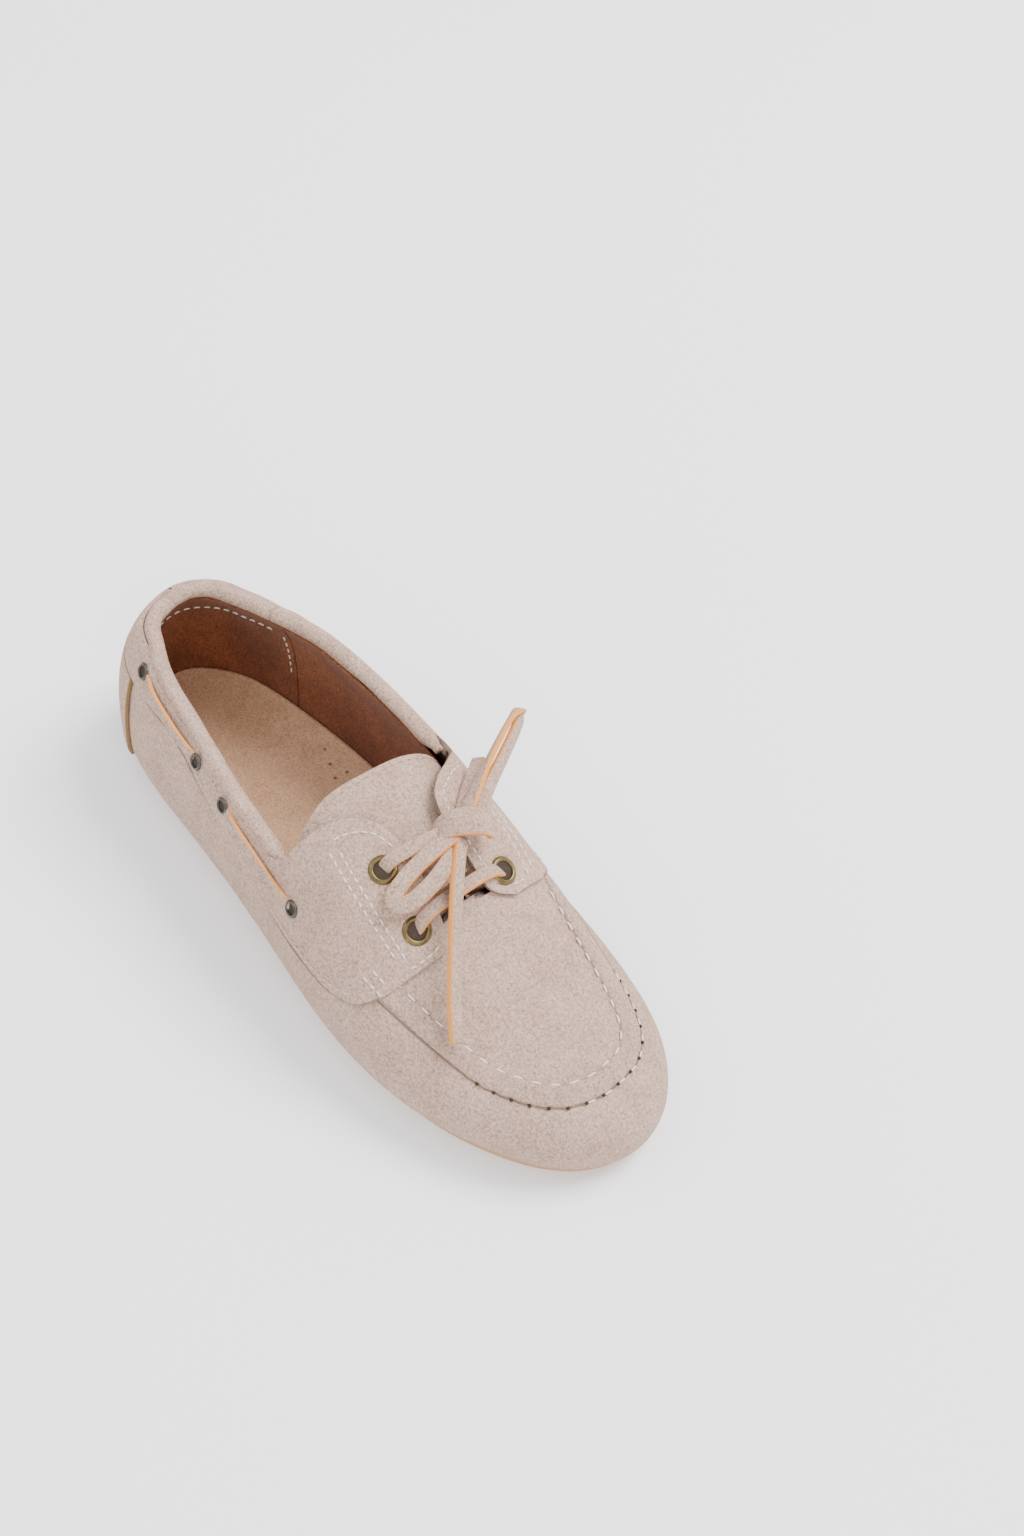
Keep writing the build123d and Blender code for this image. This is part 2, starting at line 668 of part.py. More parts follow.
# ---- cords ----
def cord(points, radius, name):
    """Round cord of straight runs joined by tangent arcs, as large as the runs allow."""
    pts = [Vector(*[float(c) for c in p]) for p in points]
    radii = []
    for a, b, c in zip(pts, pts[1:], pts[2:]):
        turn = math.radians((b - a).get_angle(c - b))
        short = min((b - a).length, (c - b).length)
        radii.append(0.45 * short / math.tan(turn / 2))
    path = FilletPolyline(*pts, radius=radii)
    start = Plane(origin=path @ 0, z_dir=path % 0)
    tube = sweep(start * Circle(radius), path=path)
    ideal = math.pi * radius**2 * path.length
    print(name, "length", round(path.length, 1), "volume ratio", round(tube.volume / ideal, 4),
          "radii", [round(r, 1) for r in radii])
    return tube


def on_side(station_of, x, z, offset):
    """Point beside the side wall, at the height of that side's eyelet row."""
    u = station_of(x)
    return skin(u, turn_at_height(u, z + side_rise(station_of)), offset)


def side_lace_route(station_of):
    """From the front eyelet, hidden under the lobe, out at the fourth eyelet and back to the heel."""
    front = EYELETS_FRONT[0] if station_of is lateral else EYELETS_FRONT[2]
    down = -1 if station_of is lateral else 1
    hidden = [
        (front[0], front[1], 0.4),
        (front[0] - 2.5, front[1] + 2.5 * down, -2.0),
        (18, front[1] + 7 * down, -2.25),
    ]
    points = [skin(*locate(x, y), offset) for x, y, offset in hidden]
    beside = [
        (12.8, 41.1, -2.25), (8.1, 41.5, 0.4), (2.4, 42.1, 2.9), (-13, 43.8, 3.1), (-27.7, 45.4, 2.8),
        (-33.4, 46.0, 0.2), (-38.4, 46.5, -2.7), (-46.0, 47.6, -2.8), (-51.0, 48.4, 0.2),
        (-56.7, 49.3, 2.8), (-70, 51.6, 3.1), (-80.8, 53.8, 2.8), (-86.5, 54.8, 0.2),
    ]
    return points + [on_side(station_of, x, z, offset) for x, z, offset in beside]


def heel_lace_route():
    """Hidden stretch round the heel, between the wrap and the lining."""
    rear_x, rear_z = EYELETS_SIDE[0]
    last = float(lateral(rear_x))
    u = np.linspace(-last, last, 9)
    z = np.linspace(rear_z + side_rise(medial), rear_z, 9)
    offset = [0.2, -2.2, -2.7, -2.75, -2.75, -2.75, -2.7, -2.2, 0.2]
    return [skin(a, turn_at_height(a, b), c) for a, b, c in zip(u, z, offset)]


# Free stretches of the lace, as points of their centre lines.
KNOT_MIDDLE = (30.8, 14.5, 63.6)
KNOT_SIZE = (16, 7.5, 6.4)
KNOT_ANGLE = 58            # the band lies across the shoe, turned about Z
CROSS_STRAND = [
    (41.7, -12.3, 48.6), (41.9, -10.4, 52.6), (42.3, -4.0, 55.2), (42.6, 4.0, 55.6),
    (42.5, 12.0, 54.8), (42.0, 18.4, 52.0), (41.7, 20.2, 48.0),
]
STRAND_LATERAL = [
    (24.3, -10.1, 58.6), (24.9, -8.6, 62.2), (26.3, -2.0, 63.6), (27.3, 4.5, 63.8), (28.4, 9.9, 63.6),
]
STRAND_MEDIAL = [
    (23.8, 23.0, 58.0), (24.6, 23.2, 61.6), (28.0, 22.6, 63.4), (32.4, 20.0, 63.8),
]
LOOP_FRONT = [
    (31.5, 11.4, 65.0), (31.4, 1.2, 63.8), (32.2, -8.8, 60.9), (34.4, -15.6, 58.9),
    (38.9, -13.4, 58.6), (39.0, -4.6, 60.4), (37.2, 3.6, 62.2), (33.6, 11.6, 62.4),
]
LOOP_REAR = [
    (30.2, 15.6, 65.4), (23.4, 26.6, 67.4), (17.2, 38.6, 68.6), (10.6, 51.4, 68.2),
    (9.4, 57.4, 65.6), (14.6, 53.0, 62.8), (21.2, 40.6, 62.9), (26.6, 29.2, 63.4),
    (31.8, 18.6, 63.8),
]
END_LONG = [
    (32.7, 12.6, 63.2), (39.9, 5.4, 61.6), (47.1, -1.5, 57.9), (54.7, -8.3, 52.4),
    (61.7, -14.7, 46.2), (67.1, -19.3, 41.2), (73.5, -23.7, 37.0),
]
END_SHORT = [(28.6, 15.0, 62.6), (23.6, 21.2, 62.9), (17.6, 29.2, 62.4), (12.4, 36.6, 60.6)]


def make_knot():
    """Flat band of the bow's knot, rounded all round."""
    block = fillet(Box(*KNOT_SIZE).edges(), 2.6)
    return Pos(*KNOT_MIDDLE) * Rot(0, 0, KNOT_ANGLE) * block


def main():
    parts = {
        "outsole": make_outsole(),
        "filler": make_filler(),
        "insole_board": make_insole_board(),
        "footbed_foam": make_footbed_foam(),
        "footbed_cover": make_footbed_cover(),
        "wrap": make_wrap(),
        "seam_welt": make_seam_welt(),
        "plug": make_plug(),
        "plug_lining": make_plug_lining(),
        "tongue": make_tongue(),
        "tongue_lining": make_tongue_lining(),
        "saddle_lateral": make_saddle(lateral),
        "saddle_medial": make_saddle(medial),
        "facing_lateral": make_facing(lateral),
        "facing_medial": make_facing(medial),
        "collar": make_collar(),
        "lining_heel": make_lining_heel(),
        "lining_lateral": make_side_lining(lateral),
        "lining_medial": make_side_lining(medial),
        "vamp_lining": make_vamp_lining(),
        "heel_patch": make_heel_patch(),
        "heel_counter": make_heel_counter(),
        "side_lace_lateral": cord(side_lace_route(lateral), LACE_R, "side_lace_lateral"),
        "side_lace_medial": cord(side_lace_route(medial), LACE_R, "side_lace_medial"),
        "heel_lace": cord(heel_lace_route(), LACE_R, "heel_lace"),
        "bow_knot": make_knot(),
        "lace_cross": cord(CROSS_STRAND, BOW_R, "lace_cross"),
        "lace_lateral": cord(STRAND_LATERAL, BOW_R, "lace_lateral"),
        "lace_medial": cord(STRAND_MEDIAL, BOW_R, "lace_medial"),
        "bow_loop_front": cord(LOOP_FRONT, BOW_R, "bow_loop_front"),
        "bow_loop_rear": cord(LOOP_REAR, BOW_R, "bow_loop_rear"),
        "lace_end_long": cord(END_LONG, BOW_R, "lace_end_long"),
        "lace_end_short": cord(END_SHORT, BOW_R, "lace_end_short"),
        "front_eyelets": Compound([eyelet(f, FRONT_HOLE_R, FRONT_EYELET_R, 1.2)
                                   for f in front_eyelet_frames()]),
    }
    for name, station_of in (("side_eyelets_lateral", lateral), ("side_eyelets_medial", medial)):
        rings = [eyelet(f, SIDE_HOLE_R, SIDE_EYELET_R, 1.6) for f in side_eyelet_frames(station_of)]
        parts[name] = Compound(rings)
    os.makedirs("parts", exist_ok=True)
    for name, shape in parts.items():
        export_step(ORIGIN * shape, f"parts/{name}.step")


main()
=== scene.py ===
import math

import bpy
import numpy as np
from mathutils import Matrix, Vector


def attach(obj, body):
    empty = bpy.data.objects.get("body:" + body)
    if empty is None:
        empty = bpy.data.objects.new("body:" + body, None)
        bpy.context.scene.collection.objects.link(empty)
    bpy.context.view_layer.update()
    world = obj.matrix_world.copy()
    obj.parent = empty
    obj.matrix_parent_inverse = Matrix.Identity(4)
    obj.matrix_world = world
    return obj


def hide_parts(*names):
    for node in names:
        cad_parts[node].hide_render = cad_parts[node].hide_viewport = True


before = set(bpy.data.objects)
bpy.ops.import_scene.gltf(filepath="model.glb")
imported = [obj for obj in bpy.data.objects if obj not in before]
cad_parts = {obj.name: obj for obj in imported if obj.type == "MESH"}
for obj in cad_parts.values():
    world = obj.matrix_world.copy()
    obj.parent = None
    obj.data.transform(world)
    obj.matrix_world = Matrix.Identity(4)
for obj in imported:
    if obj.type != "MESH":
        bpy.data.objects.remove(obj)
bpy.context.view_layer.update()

# Shapes below are worked out in millimetres, before the model's middle is moved to the origin.
MM = 0.001
SHIFT = np.array([-1.4, 0.4, 0.0])
SPINE_Y = 4.0
HEEL_X, TOE_X, FAN_R = -92.0, 84.0, 32.0
SOLE_TOP = 3.0
SUEDE = 1.4                 # thickness of the suede panels
OVERLAY = 0.15              # gap between a panel and the one sewn on top of it
LINING_OUT, LINING = -4.1, 0.9
FOOTBED_TOP = 12.4
HAND_PITCH = 5.6            # spacing of the hand stitches along the moccasin seam
MACHINE_PITCH = 2.9         # spacing of the machine stitches
HINGE_X, HINGE_GAP = 38.0, 0.6
PLUG_OUT = -1.1
TONGUE_OUT = -4.0
OUTLINE = [
    (-118, 4), (-111.5, -13.5), (-96, -24.3), (-60, -29.7), (-10, -35.2), (35, -41.3),
    (72, -38), (98, -28), (114.5, -15), (122, 2), (118.5, 18), (104, 31), (78, 38.7),
    (48, 40.5), (5, 37), (-40, 36.5), (-82, 31.8), (-101, 26), (-113.5, 16),
]
SEAM = [
    (44, -29.5), (60, -26.5), (72, -24), (82, -21.5), (90.5, -18), (98.5, -13), (104.5, -5.5),
    (106.7, 3.5), (105.7, 12.5), (101.5, 19.5), (93, 24.7), (83, 28.2), (68, 31.5), (44, 36.2),
]
CROWN = [(-92, 66), (-82, 66.5), (-57, 69), (-37, 70), (-5, 67), (12, 64), (25, 60), (36, 54),
         (48, 46), (60, 40), (72, 35.5), (84, 32)]
BOXINESS = [(-92, 2.6), (-80, 2.9), (-37, 2.9), (-5, 2.8), (15, 2.5), (35, 2.35), (84, 2.3)]
LEAN = [(-92, 2), (-80, 3), (-57, 5), (-37, 4.5), (-5, 5), (24, 3.5), (48, 1), (84, 0)]
TOP_LATERAL = [(-92, 61), (-83, 59), (-63, 55), (-50, 53), (-26, 50), (-3, 48)]
TOP_MEDIAL = [(-92, 63), (-83, 63), (-57, 61.5), (-37, 60), (-16, 58), (-1, 56.5)]
EYELETS_FRONT = [(24.3, -10.1), (41.7, -12.3), (23.8, 23.0), (41.7, 20.2)]
EYELETS_SIDE = [(-86.5, 54.8), (-51.0, 48.4), (-33.4, 46.0), (8.1, 41.5)]
QUARTER = math.pi * FAN_R / 2
SIDE = TOE_X - HEEL_X
ROUND = 2 * SIDE + 4 * QUARTER
START = QUARTER - HEEL_X


# ---- camera, lights, floor ----
def put_camera():
    data = bpy.data.cameras.new("camera")
    data.lens = 50
    data.sensor_fit = "VERTICAL"
    data.sensor_height = 36
    camera = bpy.data.objects.new("camera", data)
    bpy.context.scene.collection.objects.link(camera)
    place = (np.array([319.9, -214.6, 573.6]) + SHIFT) * MM
    aim = (np.array([-13.8, 72.4, 0.0]) + SHIFT) * MM
    camera.location = place
    camera.rotation_euler = Vector(aim - place).to_track_quat("-Z", "Y").to_euler()
    data.clip_start, data.clip_end = 0.01, 20
    bpy.context.scene.camera = camera


# ---- curves of the shoe's shape ----
def closed_spline(points, count=720):
    p = np.array(points, float)
    m = len(p)
    step = np.linalg.norm(np.roll(p, -1, 0) - p, axis=1) ** 0.5
    knot = np.concatenate([[0], np.cumsum(step)])
    a, b = np.zeros((m, m)), np.zeros((m, 2))
    for i in range(m):
        j = (i + 1) % m
        a[i, i - 1] += step[i - 1]
        a[i, i] += 2 * (step[i - 1] + step[i])
        a[i, j] += step[i]
        b[i] = 6 * ((p[j] - p[i]) / step[i] - (p[i] - p[i - 1]) / step[i - 1])
    bend = np.linalg.solve(a, b)
    out = np.zeros((count, 2))
    for k, v in enumerate(np.linspace(0, knot[-1], count, endpoint=False)):
        i = min(np.searchsorted(knot, v, "right") - 1, m - 1)
        j, h = (i + 1) % m, step[i]
        s, t = (knot[i + 1] - v) / h, (v - knot[i]) / h
        out[k] = s * p[i] + t * p[j] + ((s**3 - s) * bend[i] + (t**3 - t) * bend[j]) * h * h / 6
    return out


def smooth(points):
    """Shape-preserving cubic through (x, value) points, held level past its ends."""
    x, y = (np.array(c, float) for c in zip(*points))
    h = np.diff(x)
    d = np.diff(y) / h
    m = np.zeros(len(x))
    m[0], m[-1] = d[0], d[-1]
    for i in range(1, len(x) - 1):
        if d[i - 1] * d[i] > 0:
            w1, w2 = 2 * h[i] + h[i - 1], h[i] + 2 * h[i - 1]
            m[i] = (w1 + w2) / (w1 / d[i - 1] + w2 / d[i])

    def value(v):
        v = np.clip(np.asarray(v, float), x[0], x[-1])
        i = np.clip(np.searchsorted(x, v, "right") - 1, 0, len(x) - 2)
        t = (v - x[i]) / h[i]
        rise = (1 + 2 * t) * (1 - t) ** 2 * y[i] + t * t * (3 - 2 * t) * y[i + 1]
        return rise + h[i] * (t * (1 - t) ** 2 * m[i] + t * t * (t - 1) * m[i + 1])

    return value


def open_curve(points, count):
    """Smooth open curve through plan points, evenly spaced."""
    p = np.array(points, float)
    step = np.concatenate([[0], np.cumsum(np.linalg.norm(np.diff(p, axis=0), axis=1))])
    t = np.linspace(0, step[-1], count)
    return np.stack([smooth(list(zip(step, p[:, k])))(t) for k in range(p.shape[1])], -1)


OUTLINE_LINE = closed_spline(OUTLINE)
SEAM_LINE = open_curve(SEAM, 300)
crown, boxiness, lean = smooth(CROWN), smooth(BOXINESS), smooth(LEAN)
top_lateral, top_medial = smooth(TOP_LATERAL), smooth(TOP_MEDIAL)


def lateral(x):
    return START + np.asarray(x, float)


def medial(x):
    return ROUND - START - np.asarray(x, float)


def ray(station):
    """Spine point and outward plan direction of each station."""
    u = np.mod(np.asarray(station, float), ROUND)
    on_lateral = (u >= QUARTER) & (u < QUARTER + SIDE)
    on_toe = (u >= QUARTER + SIDE) & (u < 3 * QUARTER + SIDE)
    on_medial = (u >= 3 * QUARTER + SIDE) & (u < 3 * QUARTER + 2 * SIDE)
    x = np.full(u.shape, HEEL_X)
    angle = np.pi + u / FAN_R
    x = np.where(on_lateral, HEEL_X + u - QUARTER, x)
    angle = np.where(on_lateral, -np.pi / 2, angle)
    x = np.where(on_toe, TOE_X, x)
    angle = np.where(on_toe, (u - QUARTER - SIDE) / FAN_R - np.pi / 2, angle)
    x = np.where(on_medial, TOE_X - (u - 3 * QUARTER - SIDE), x)
    angle = np.where(on_medial, np.pi / 2, angle)
    angle = np.where(u >= 3 * QUARTER + 2 * SIDE, (u - ROUND) / FAN_R + np.pi, angle)
    return x, np.cos(angle), np.sin(angle)


def reach(x, cx, cy, line, closed=True):
    """Distance along each ray to the line."""
    a, b = (line, np.roll(line, -1, 0)) if closed else (line[:-1], line[1:])
    out = np.zeros(np.shape(x))
    for k in np.ndindex(np.shape(x)):
        side_a = cx[k] * (a[:, 1] - SPINE_Y) - cy[k] * (a[:, 0] - x[k])
        side_b = cx[k] * (b[:, 1] - SPINE_Y) - cy[k] * (b[:, 0] - x[k])
        for i in np.where(side_a * side_b <= 0)[0]:
            w = side_a[i] / (side_a[i] - side_b[i] + 1e-12)
            hit = a[i] + w * (b[i] - a[i])
            length = (hit[0] - x[k]) * cx[k] + (hit[1] - SPINE_Y) * cy[k]
            if length > 0:
                out[k] = length
    return out


STATIONS = np.linspace(0, ROUND, 1401)
REACH_TABLE = reach(*ray(STATIONS), OUTLINE_LINE)


def half_width(u):
    return np.interp(np.mod(u, ROUND), STATIONS, REACH_TABLE)


def section(u):
    """Sizes of the cross-section at each station."""
    x, cx, cy = ray(u)
    toe = np.where(x >= TOE_X - 1e-6, np.clip(cx, 0, 1), 0) ** 2
    heel = np.where(x <= HEEL_X + 1e-6, np.clip(-cx, 0, 1), 0) ** 2
    return x, cx, cy, half_width(u), crown(x), boxiness(x), 14 - 3 * toe + 2 * heel, 9 - 4.5 * toe, heel


def bare(u, turn):
    """Face of the upper. turn runs from -pi/2 (sole edge) through 0 (widest) to pi/2 (crown)."""
    x, cx, cy, wide, high, box, widest, tuck, heel = section(u)
    up = np.clip(turn, 0, math.pi / 2)
    down = np.clip(-turn, 0, math.pi / 2)
    d = wide * np.clip(np.cos(up), 0, 1) ** (2 / box) - tuck * (1 - np.cos(down))
    z = widest + (high - widest) * np.sin(up) ** (2 / box)
    z = np.where(turn < 0, widest - (widest - SOLE_TOP) * np.sin(down), z)
    rise = np.clip((z - widest) / 45, 0, 1.2)
    return np.stack(
        [x + cx * d + 3 * heel * rise**1.5, SPINE_Y + cy * d + lean(x) * rise, z], -1
    )


def normal_at(u, turn):
    along = bare(u + 0.5, turn) - bare(u - 0.5, turn)
    high = np.minimum(turn + 0.01, math.pi / 2 - 1e-4)
    across = bare(u, high) - bare(u, high - 0.02)
    normal = np.cross(along, across)
    return normal / np.linalg.norm(normal, axis=-1, keepdims=True)


def skin(u, turn, offset=0.0):
    """Points at a distance outside (+) or inside (-) the face of the upper."""
    u, turn = np.broadcast_arrays(np.asarray(u, float), np.asarray(turn, float))
    return bare(u, turn) + normal_at(u, turn) * np.asarray(offset, float)[..., None]


def turn_at_height(u, z):
    _, _, _, _, high, box, widest, _, _ = section(u)
    return np.arcsin(np.clip((z - widest) / (high - widest), 0, 1) ** (box / 2))


def turn_at_plan(u, distance):
    return np.arccos(np.clip(distance / half_width(u), 0, 1) ** (section(u)[5] / 2))


def locate(x, y):
    """Station and turn of the skin point above a plan point."""
    x, y = np.broadcast_arrays(np.asarray(x, float), np.asarray(y, float))
    flat = y.copy()
    for _ in range(6):
        in_toe = x > TOE_X
        fan = np.arctan2(flat - SPINE_Y, x - TOE_X)
        u = np.where(flat < SPINE_Y, lateral(x), medial(x))
        u = np.where(in_toe, QUARTER + SIDE + (fan + math.pi / 2) * FAN_R, u)
        far = np.where(in_toe, np.hypot(x - TOE_X, flat - SPINE_Y), abs(flat - SPINE_Y))
        turn = turn_at_plan(u, far)
        z = bare(u, turn)[..., 2]
        flat = y - lean(x) * np.clip((z - 14) / 45, 0, 1.2)
    return u, turn


def top_height(u):
    """Height of the top line at a rear station, on either side or round the heel."""
    w = np.mod(np.asarray(u, float) + ROUND / 2, ROUND) - ROUND / 2
    x = ray(u)[0]
    blend = np.clip((w + QUARTER) / (2 * QUARTER), 0, 1)
    heel = top_medial(HEEL_X) * (1 - blend) + top_lateral(HEEL_X) * blend
    return np.where(abs(w) < QUARTER, heel, np.where(w > 0, top_lateral(x), top_medial(x)))


# ---- meshes ----
def new_object(name, verts, faces, materials, picks=None):
    mesh = bpy.data.meshes.new(name)
    mesh.from_pydata([tuple((np.asarray(v) + SHIFT) * MM) for v in verts], [], faces)
    for m in materials:
        mesh.materials.append(m)
    if picks is not None:
        mesh.polygons.foreach_set("material_index", picks)
    mesh.validate()
    mesh.polygons.foreach_set("use_smooth", [True] * len(mesh.polygons))
    obj = bpy.data.objects.new(name, mesh)
    bpy.context.scene.collection.objects.link(obj)
    return obj


def finish_piece(obj, body, slot, *nodes):
    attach(obj, body)
    if nodes:
        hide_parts(*nodes)
    return obj


def tube_mesh(name, centres, sides, ups, half_wide, half_high, materials, around=14, power=1.0,
              pick=None):
    """Closed bar swept along centres, with an oval section across side and up."""
    verts, faces, picks = [], [], []
    count = len(centres)
    for i in range(count):
        for k in range(around):
            a = 2 * math.pi * k / around
            ca, sa = math.cos(a), math.sin(a)
            x = math.copysign(abs(ca) ** power, ca)
            y = math.copysign(abs(sa) ** power, sa)
            hw = half_wide[i] if np.ndim(half_wide) else half_wide
            hh = half_high[i] if np.ndim(half_high) else half_high
            verts.append(centres[i] + sides[i] * x * hw + ups[i] * y * hh)
    for i in range(count - 1):
        for k in range(around):
            j = (k + 1) % around
            faces.append([i * around + k, i * around + j, (i + 1) * around + j, (i + 1) * around + k])
            picks.append(pick(k) if pick else 0)
    faces.append(list(range(around))[::-1])
    faces.append([(count - 1) * around + k for k in range(around)])
    picks += [1 if pick else 0] * 2
    return new_object(name, verts, faces, materials, picks)


def curve_points(route, steps=12):
    """Points of the smooth line whose control points are the route, in millimetres."""
    data = bpy.data.curves.new("route", "CURVE")
    data.dimensions = "3D"
    data.resolution_u = steps
    line = data.splines.new("NURBS")
    line.points.add(len(route) - 1)
    for point, place in zip(line.points, route):
        point.co = (*place, 1.0)
    line.order_u = 3
    line.use_endpoint_u = True
    line.resolution_u = steps
    holder = bpy.data.objects.new("route", data)
    mesh = bpy.data.meshes.new_from_object(holder)
    points = np.array([v.co[:] for v in mesh.vertices])
    bpy.data.objects.remove(holder)
    bpy.data.meshes.remove(mesh)
    bpy.data.curves.remove(data)
    return points


def tangents(points):
    along = np.gradient(points, axis=0)
    return along / np.linalg.norm(along, axis=1, keepdims=True)


def lace_strip(name, route, facing, width, thick, materials):
    """Flat suede strip along a route. facing gives the direction its face points, at spread places."""
    line = curve_points(route)
    along = tangents(line)
    facing = np.array(facing, float)
    share = np.linspace(0, len(facing) - 1, len(line))
    up = np.stack([np.interp(share, range(len(facing)), facing[:, k]) for k in range(3)], -1)
    up -= along * np.sum(up * along, 1, keepdims=True)
    up /= np.linalg.norm(up, axis=1, keepdims=True)
    side = np.cross(along, up)
    obj = tube_mesh(name, line, side, up, width / 2, thick / 2, materials, around=20, power=0.42,
                    pick=lambda k: 1 if k in (0, 1, 18, 19, 8, 9, 10, 11) else 0)
    return obj, line, side, up


# ---- materials ----
def node_material(name, roughness=0.9, sheen=0.0, metallic=0.0, specular=0.3):
    material = bpy.data.materials.new(name)
    material.use_nodes = True
    nodes, links = material.node_tree.nodes, material.node_tree.links
    shader = nodes["Principled BSDF"]
    shader.inputs["Roughness"].default_value = roughness
    shader.inputs["Metallic"].default_value = metallic
    shader.inputs["Specular IOR Level"].default_value = specular
    shader.inputs["Sheen Weight"].default_value = sheen
    shader.inputs["Sheen Roughness"].default_value = 0.5
    place = nodes.new("ShaderNodeTexCoord").outputs["Object"]
    return material, nodes, links, shader, place


def noise(nodes, links, place, scale, detail=4.0, rough=0.6, distort=0.0):
    n = nodes.new("ShaderNodeTexNoise")
    n.inputs["Scale"].default_value = scale
    n.inputs["Detail"].default_value = detail
    n.inputs["Roughness"].default_value = rough
    n.inputs["Distortion"].default_value = distort
    links.new(place, n.inputs["Vector"])
    return n.outputs["Fac"]


def ramp(nodes, links, value, stops):
    r = nodes.new("ShaderNodeValToRGB")
    while len(r.color_ramp.elements) < len(stops):
        r.color_ramp.elements.new(0.5)
    for element, (at, colour) in zip(r.color_ramp.elements, stops):
        element.position = at
        element.color = (*colour, 1)
    links.new(value, r.inputs["Fac"])
    return r.outputs["Color"]


def mix(nodes, links, factor, a, b, mode="MIX"):
    m = nodes.new("ShaderNodeMix")
    m.data_type = "RGBA"
    m.blend_type = mode
    if isinstance(factor, float):
        m.inputs["Factor"].default_value = factor
    else:
        links.new(factor, m.inputs["Factor"])
    links.new(a, m.inputs[6])
    links.new(b, m.inputs[7])
    return m.outputs[2]


def bump(nodes, links, height, shader, strength, distance):
    b = nodes.new("ShaderNodeBump")
    b.inputs["Strength"].default_value = strength
    b.inputs["Distance"].default_value = distance
    links.new(height, b.inputs["Height"])
    links.new(b.outputs["Normal"], shader.inputs["Normal"])


def shade(colour, factor):
    return tuple(min(1.0, c * factor) for c in colour)


def napped(name, colour, contrast=0.25, grain=1250, relief=0.0004, sheen=0.04):
    """Suede: fine speckled nap over broad brushed patches."""
    material, nodes, links, shader, place = node_material(name, 0.95, sheen, specular=0.1)
    shader.inputs["Sheen Tint"].default_value = (1.0, 0.90, 0.83, 1)
    speckle = noise(nodes, links, place, grain, 6.0, 0.8)
    fine = ramp(nodes, links, speckle, [
        (0.36, shade(colour, 1 - 2.1 * contrast)),
        (0.5, colour),
        (0.64, shade(colour, 1 + 1.6 * contrast)),
    ])
    patches = noise(nodes, links, place, 75, 6.0, 0.7, 0.8)
    broad = ramp(nodes, links, patches, [
        (0.36, (0.86, 0.83, 0.81)), (0.5, (0.96, 0.95, 0.94)), (0.64, (1.0, 1.0, 1.0)),
    ])
    tone = mix(nodes, links, 1.0, fine, broad, "MULTIPLY")
    links.new(tone, shader.inputs["Base Color"])
    bump(nodes, links, speckle, shader, 0.8, relief)
    return material


def leather(name, colour, pore=900, contrast=0.12, roughness=0.62):
    """Smooth leather with pores and blotchy tone."""
    material, nodes, links, shader, place = node_material(name, roughness, 0.05)
    cells = nodes.new("ShaderNodeTexVoronoi")
    cells.inputs["Scale"].default_value = pore
    links.new(place, cells.inputs["Vector"])
    blotch = noise(nodes, links, place, 60, 5.0, 0.65)
    tone = ramp(nodes, links, blotch, [
        (0.3, shade(colour, 1 - 1.8 * contrast)), (0.7, shade(colour, 1 + contrast)),
    ])
    links.new(tone, shader.inputs["Base Color"])
    bump(nodes, links, cells.outputs["Distance"], shader, 0.35, 0.00015)
    return material


def fibre(name, colour, scale=2200, contrast=0.2):
    """Raw cut edge or core material, also used for painted shade in creases and holes."""
    material, nodes, links, shader, place = node_material(name, 0.85)
    grain = noise(nodes, links, place, scale, 4.0, 0.7)
    tone = ramp(nodes, links, grain, [
        (0.35, shade(colour, 1 - contrast)), (0.65, shade(colour, 1 + contrast)),
    ])
    links.new(tone, shader.inputs["Base Color"])
    bump(nodes, links, grain, shader, 0.5, 0.0002)
    return material


def woven(name, colour):
    """Brushed lining cloth with a fine uneven weave."""
    material, nodes, links, shader, place = node_material(name, 0.85, 0.1, specular=0.2)
    thread = noise(nodes, links, place, 1300, 5.0, 0.8)
    blotch = noise(nodes, links, place, 45, 5.0, 0.65)
    weave = ramp(nodes, links, thread, [
        (0.36, shade(colour, 0.5)), (0.5, colour), (0.66, shade(colour, 1.75)),
    ])
    broad = ramp(nodes, links, blotch, [(0.35, (0.62, 0.58, 0.55)), (0.65, (1.0, 1.0, 1.0))])
    links.new(mix(nodes, links, 1.0, weave, broad, "MULTIPLY"), shader.inputs["Base Color"])
    bump(nodes, links, thread, shader, 0.6, 0.0002)
    return material


def antique(name, colour, bright):
    """Antique brass: dark lacquer, rubbed brighter where it stands proud."""
    material, nodes, links, shader, place = node_material(name, 0.36, metallic=1.0, specular=0.5)
    wear = nodes.new("ShaderNodeNewGeometry").outputs["Pointiness"]
    smear = noise(nodes, links, place, 700, 4.0, 0.6)
    rub = ramp(nodes, links, wear, [(0.47, colour), (0.62, bright)])
    stain = ramp(nodes, links, smear, [(0.3, (0.65, 0.65, 0.62)), (0.7, (1.1, 1.05, 1.0))])
    links.new(mix(nodes, links, 1.0, rub, stain, "MULTIPLY"), shader.inputs["Base Color"])
    bump(nodes, links, smear, shader, 0.15, 0.00008)
    return material


def thread_material(name, colour):
    """Twisted waxed thread."""
    material, nodes, links, shader, place = node_material(name, 0.6, 0.2)
    twist = nodes.new("ShaderNodeTexWave")
    twist.inputs["Scale"].default_value = 1400
    twist.inputs["Distortion"].default_value = 1.5
    links.new(place, twist.inputs["Vector"])
    tone = ramp(nodes, links, twist.outputs["Fac"], [(0.1, shade(colour, 0.8)), (0.7, colour)])
    links.new(tone, shader.inputs["Base Color"])
    bump(nodes, links, twist.outputs["Fac"], shader, 0.4, 0.0001)
    return material


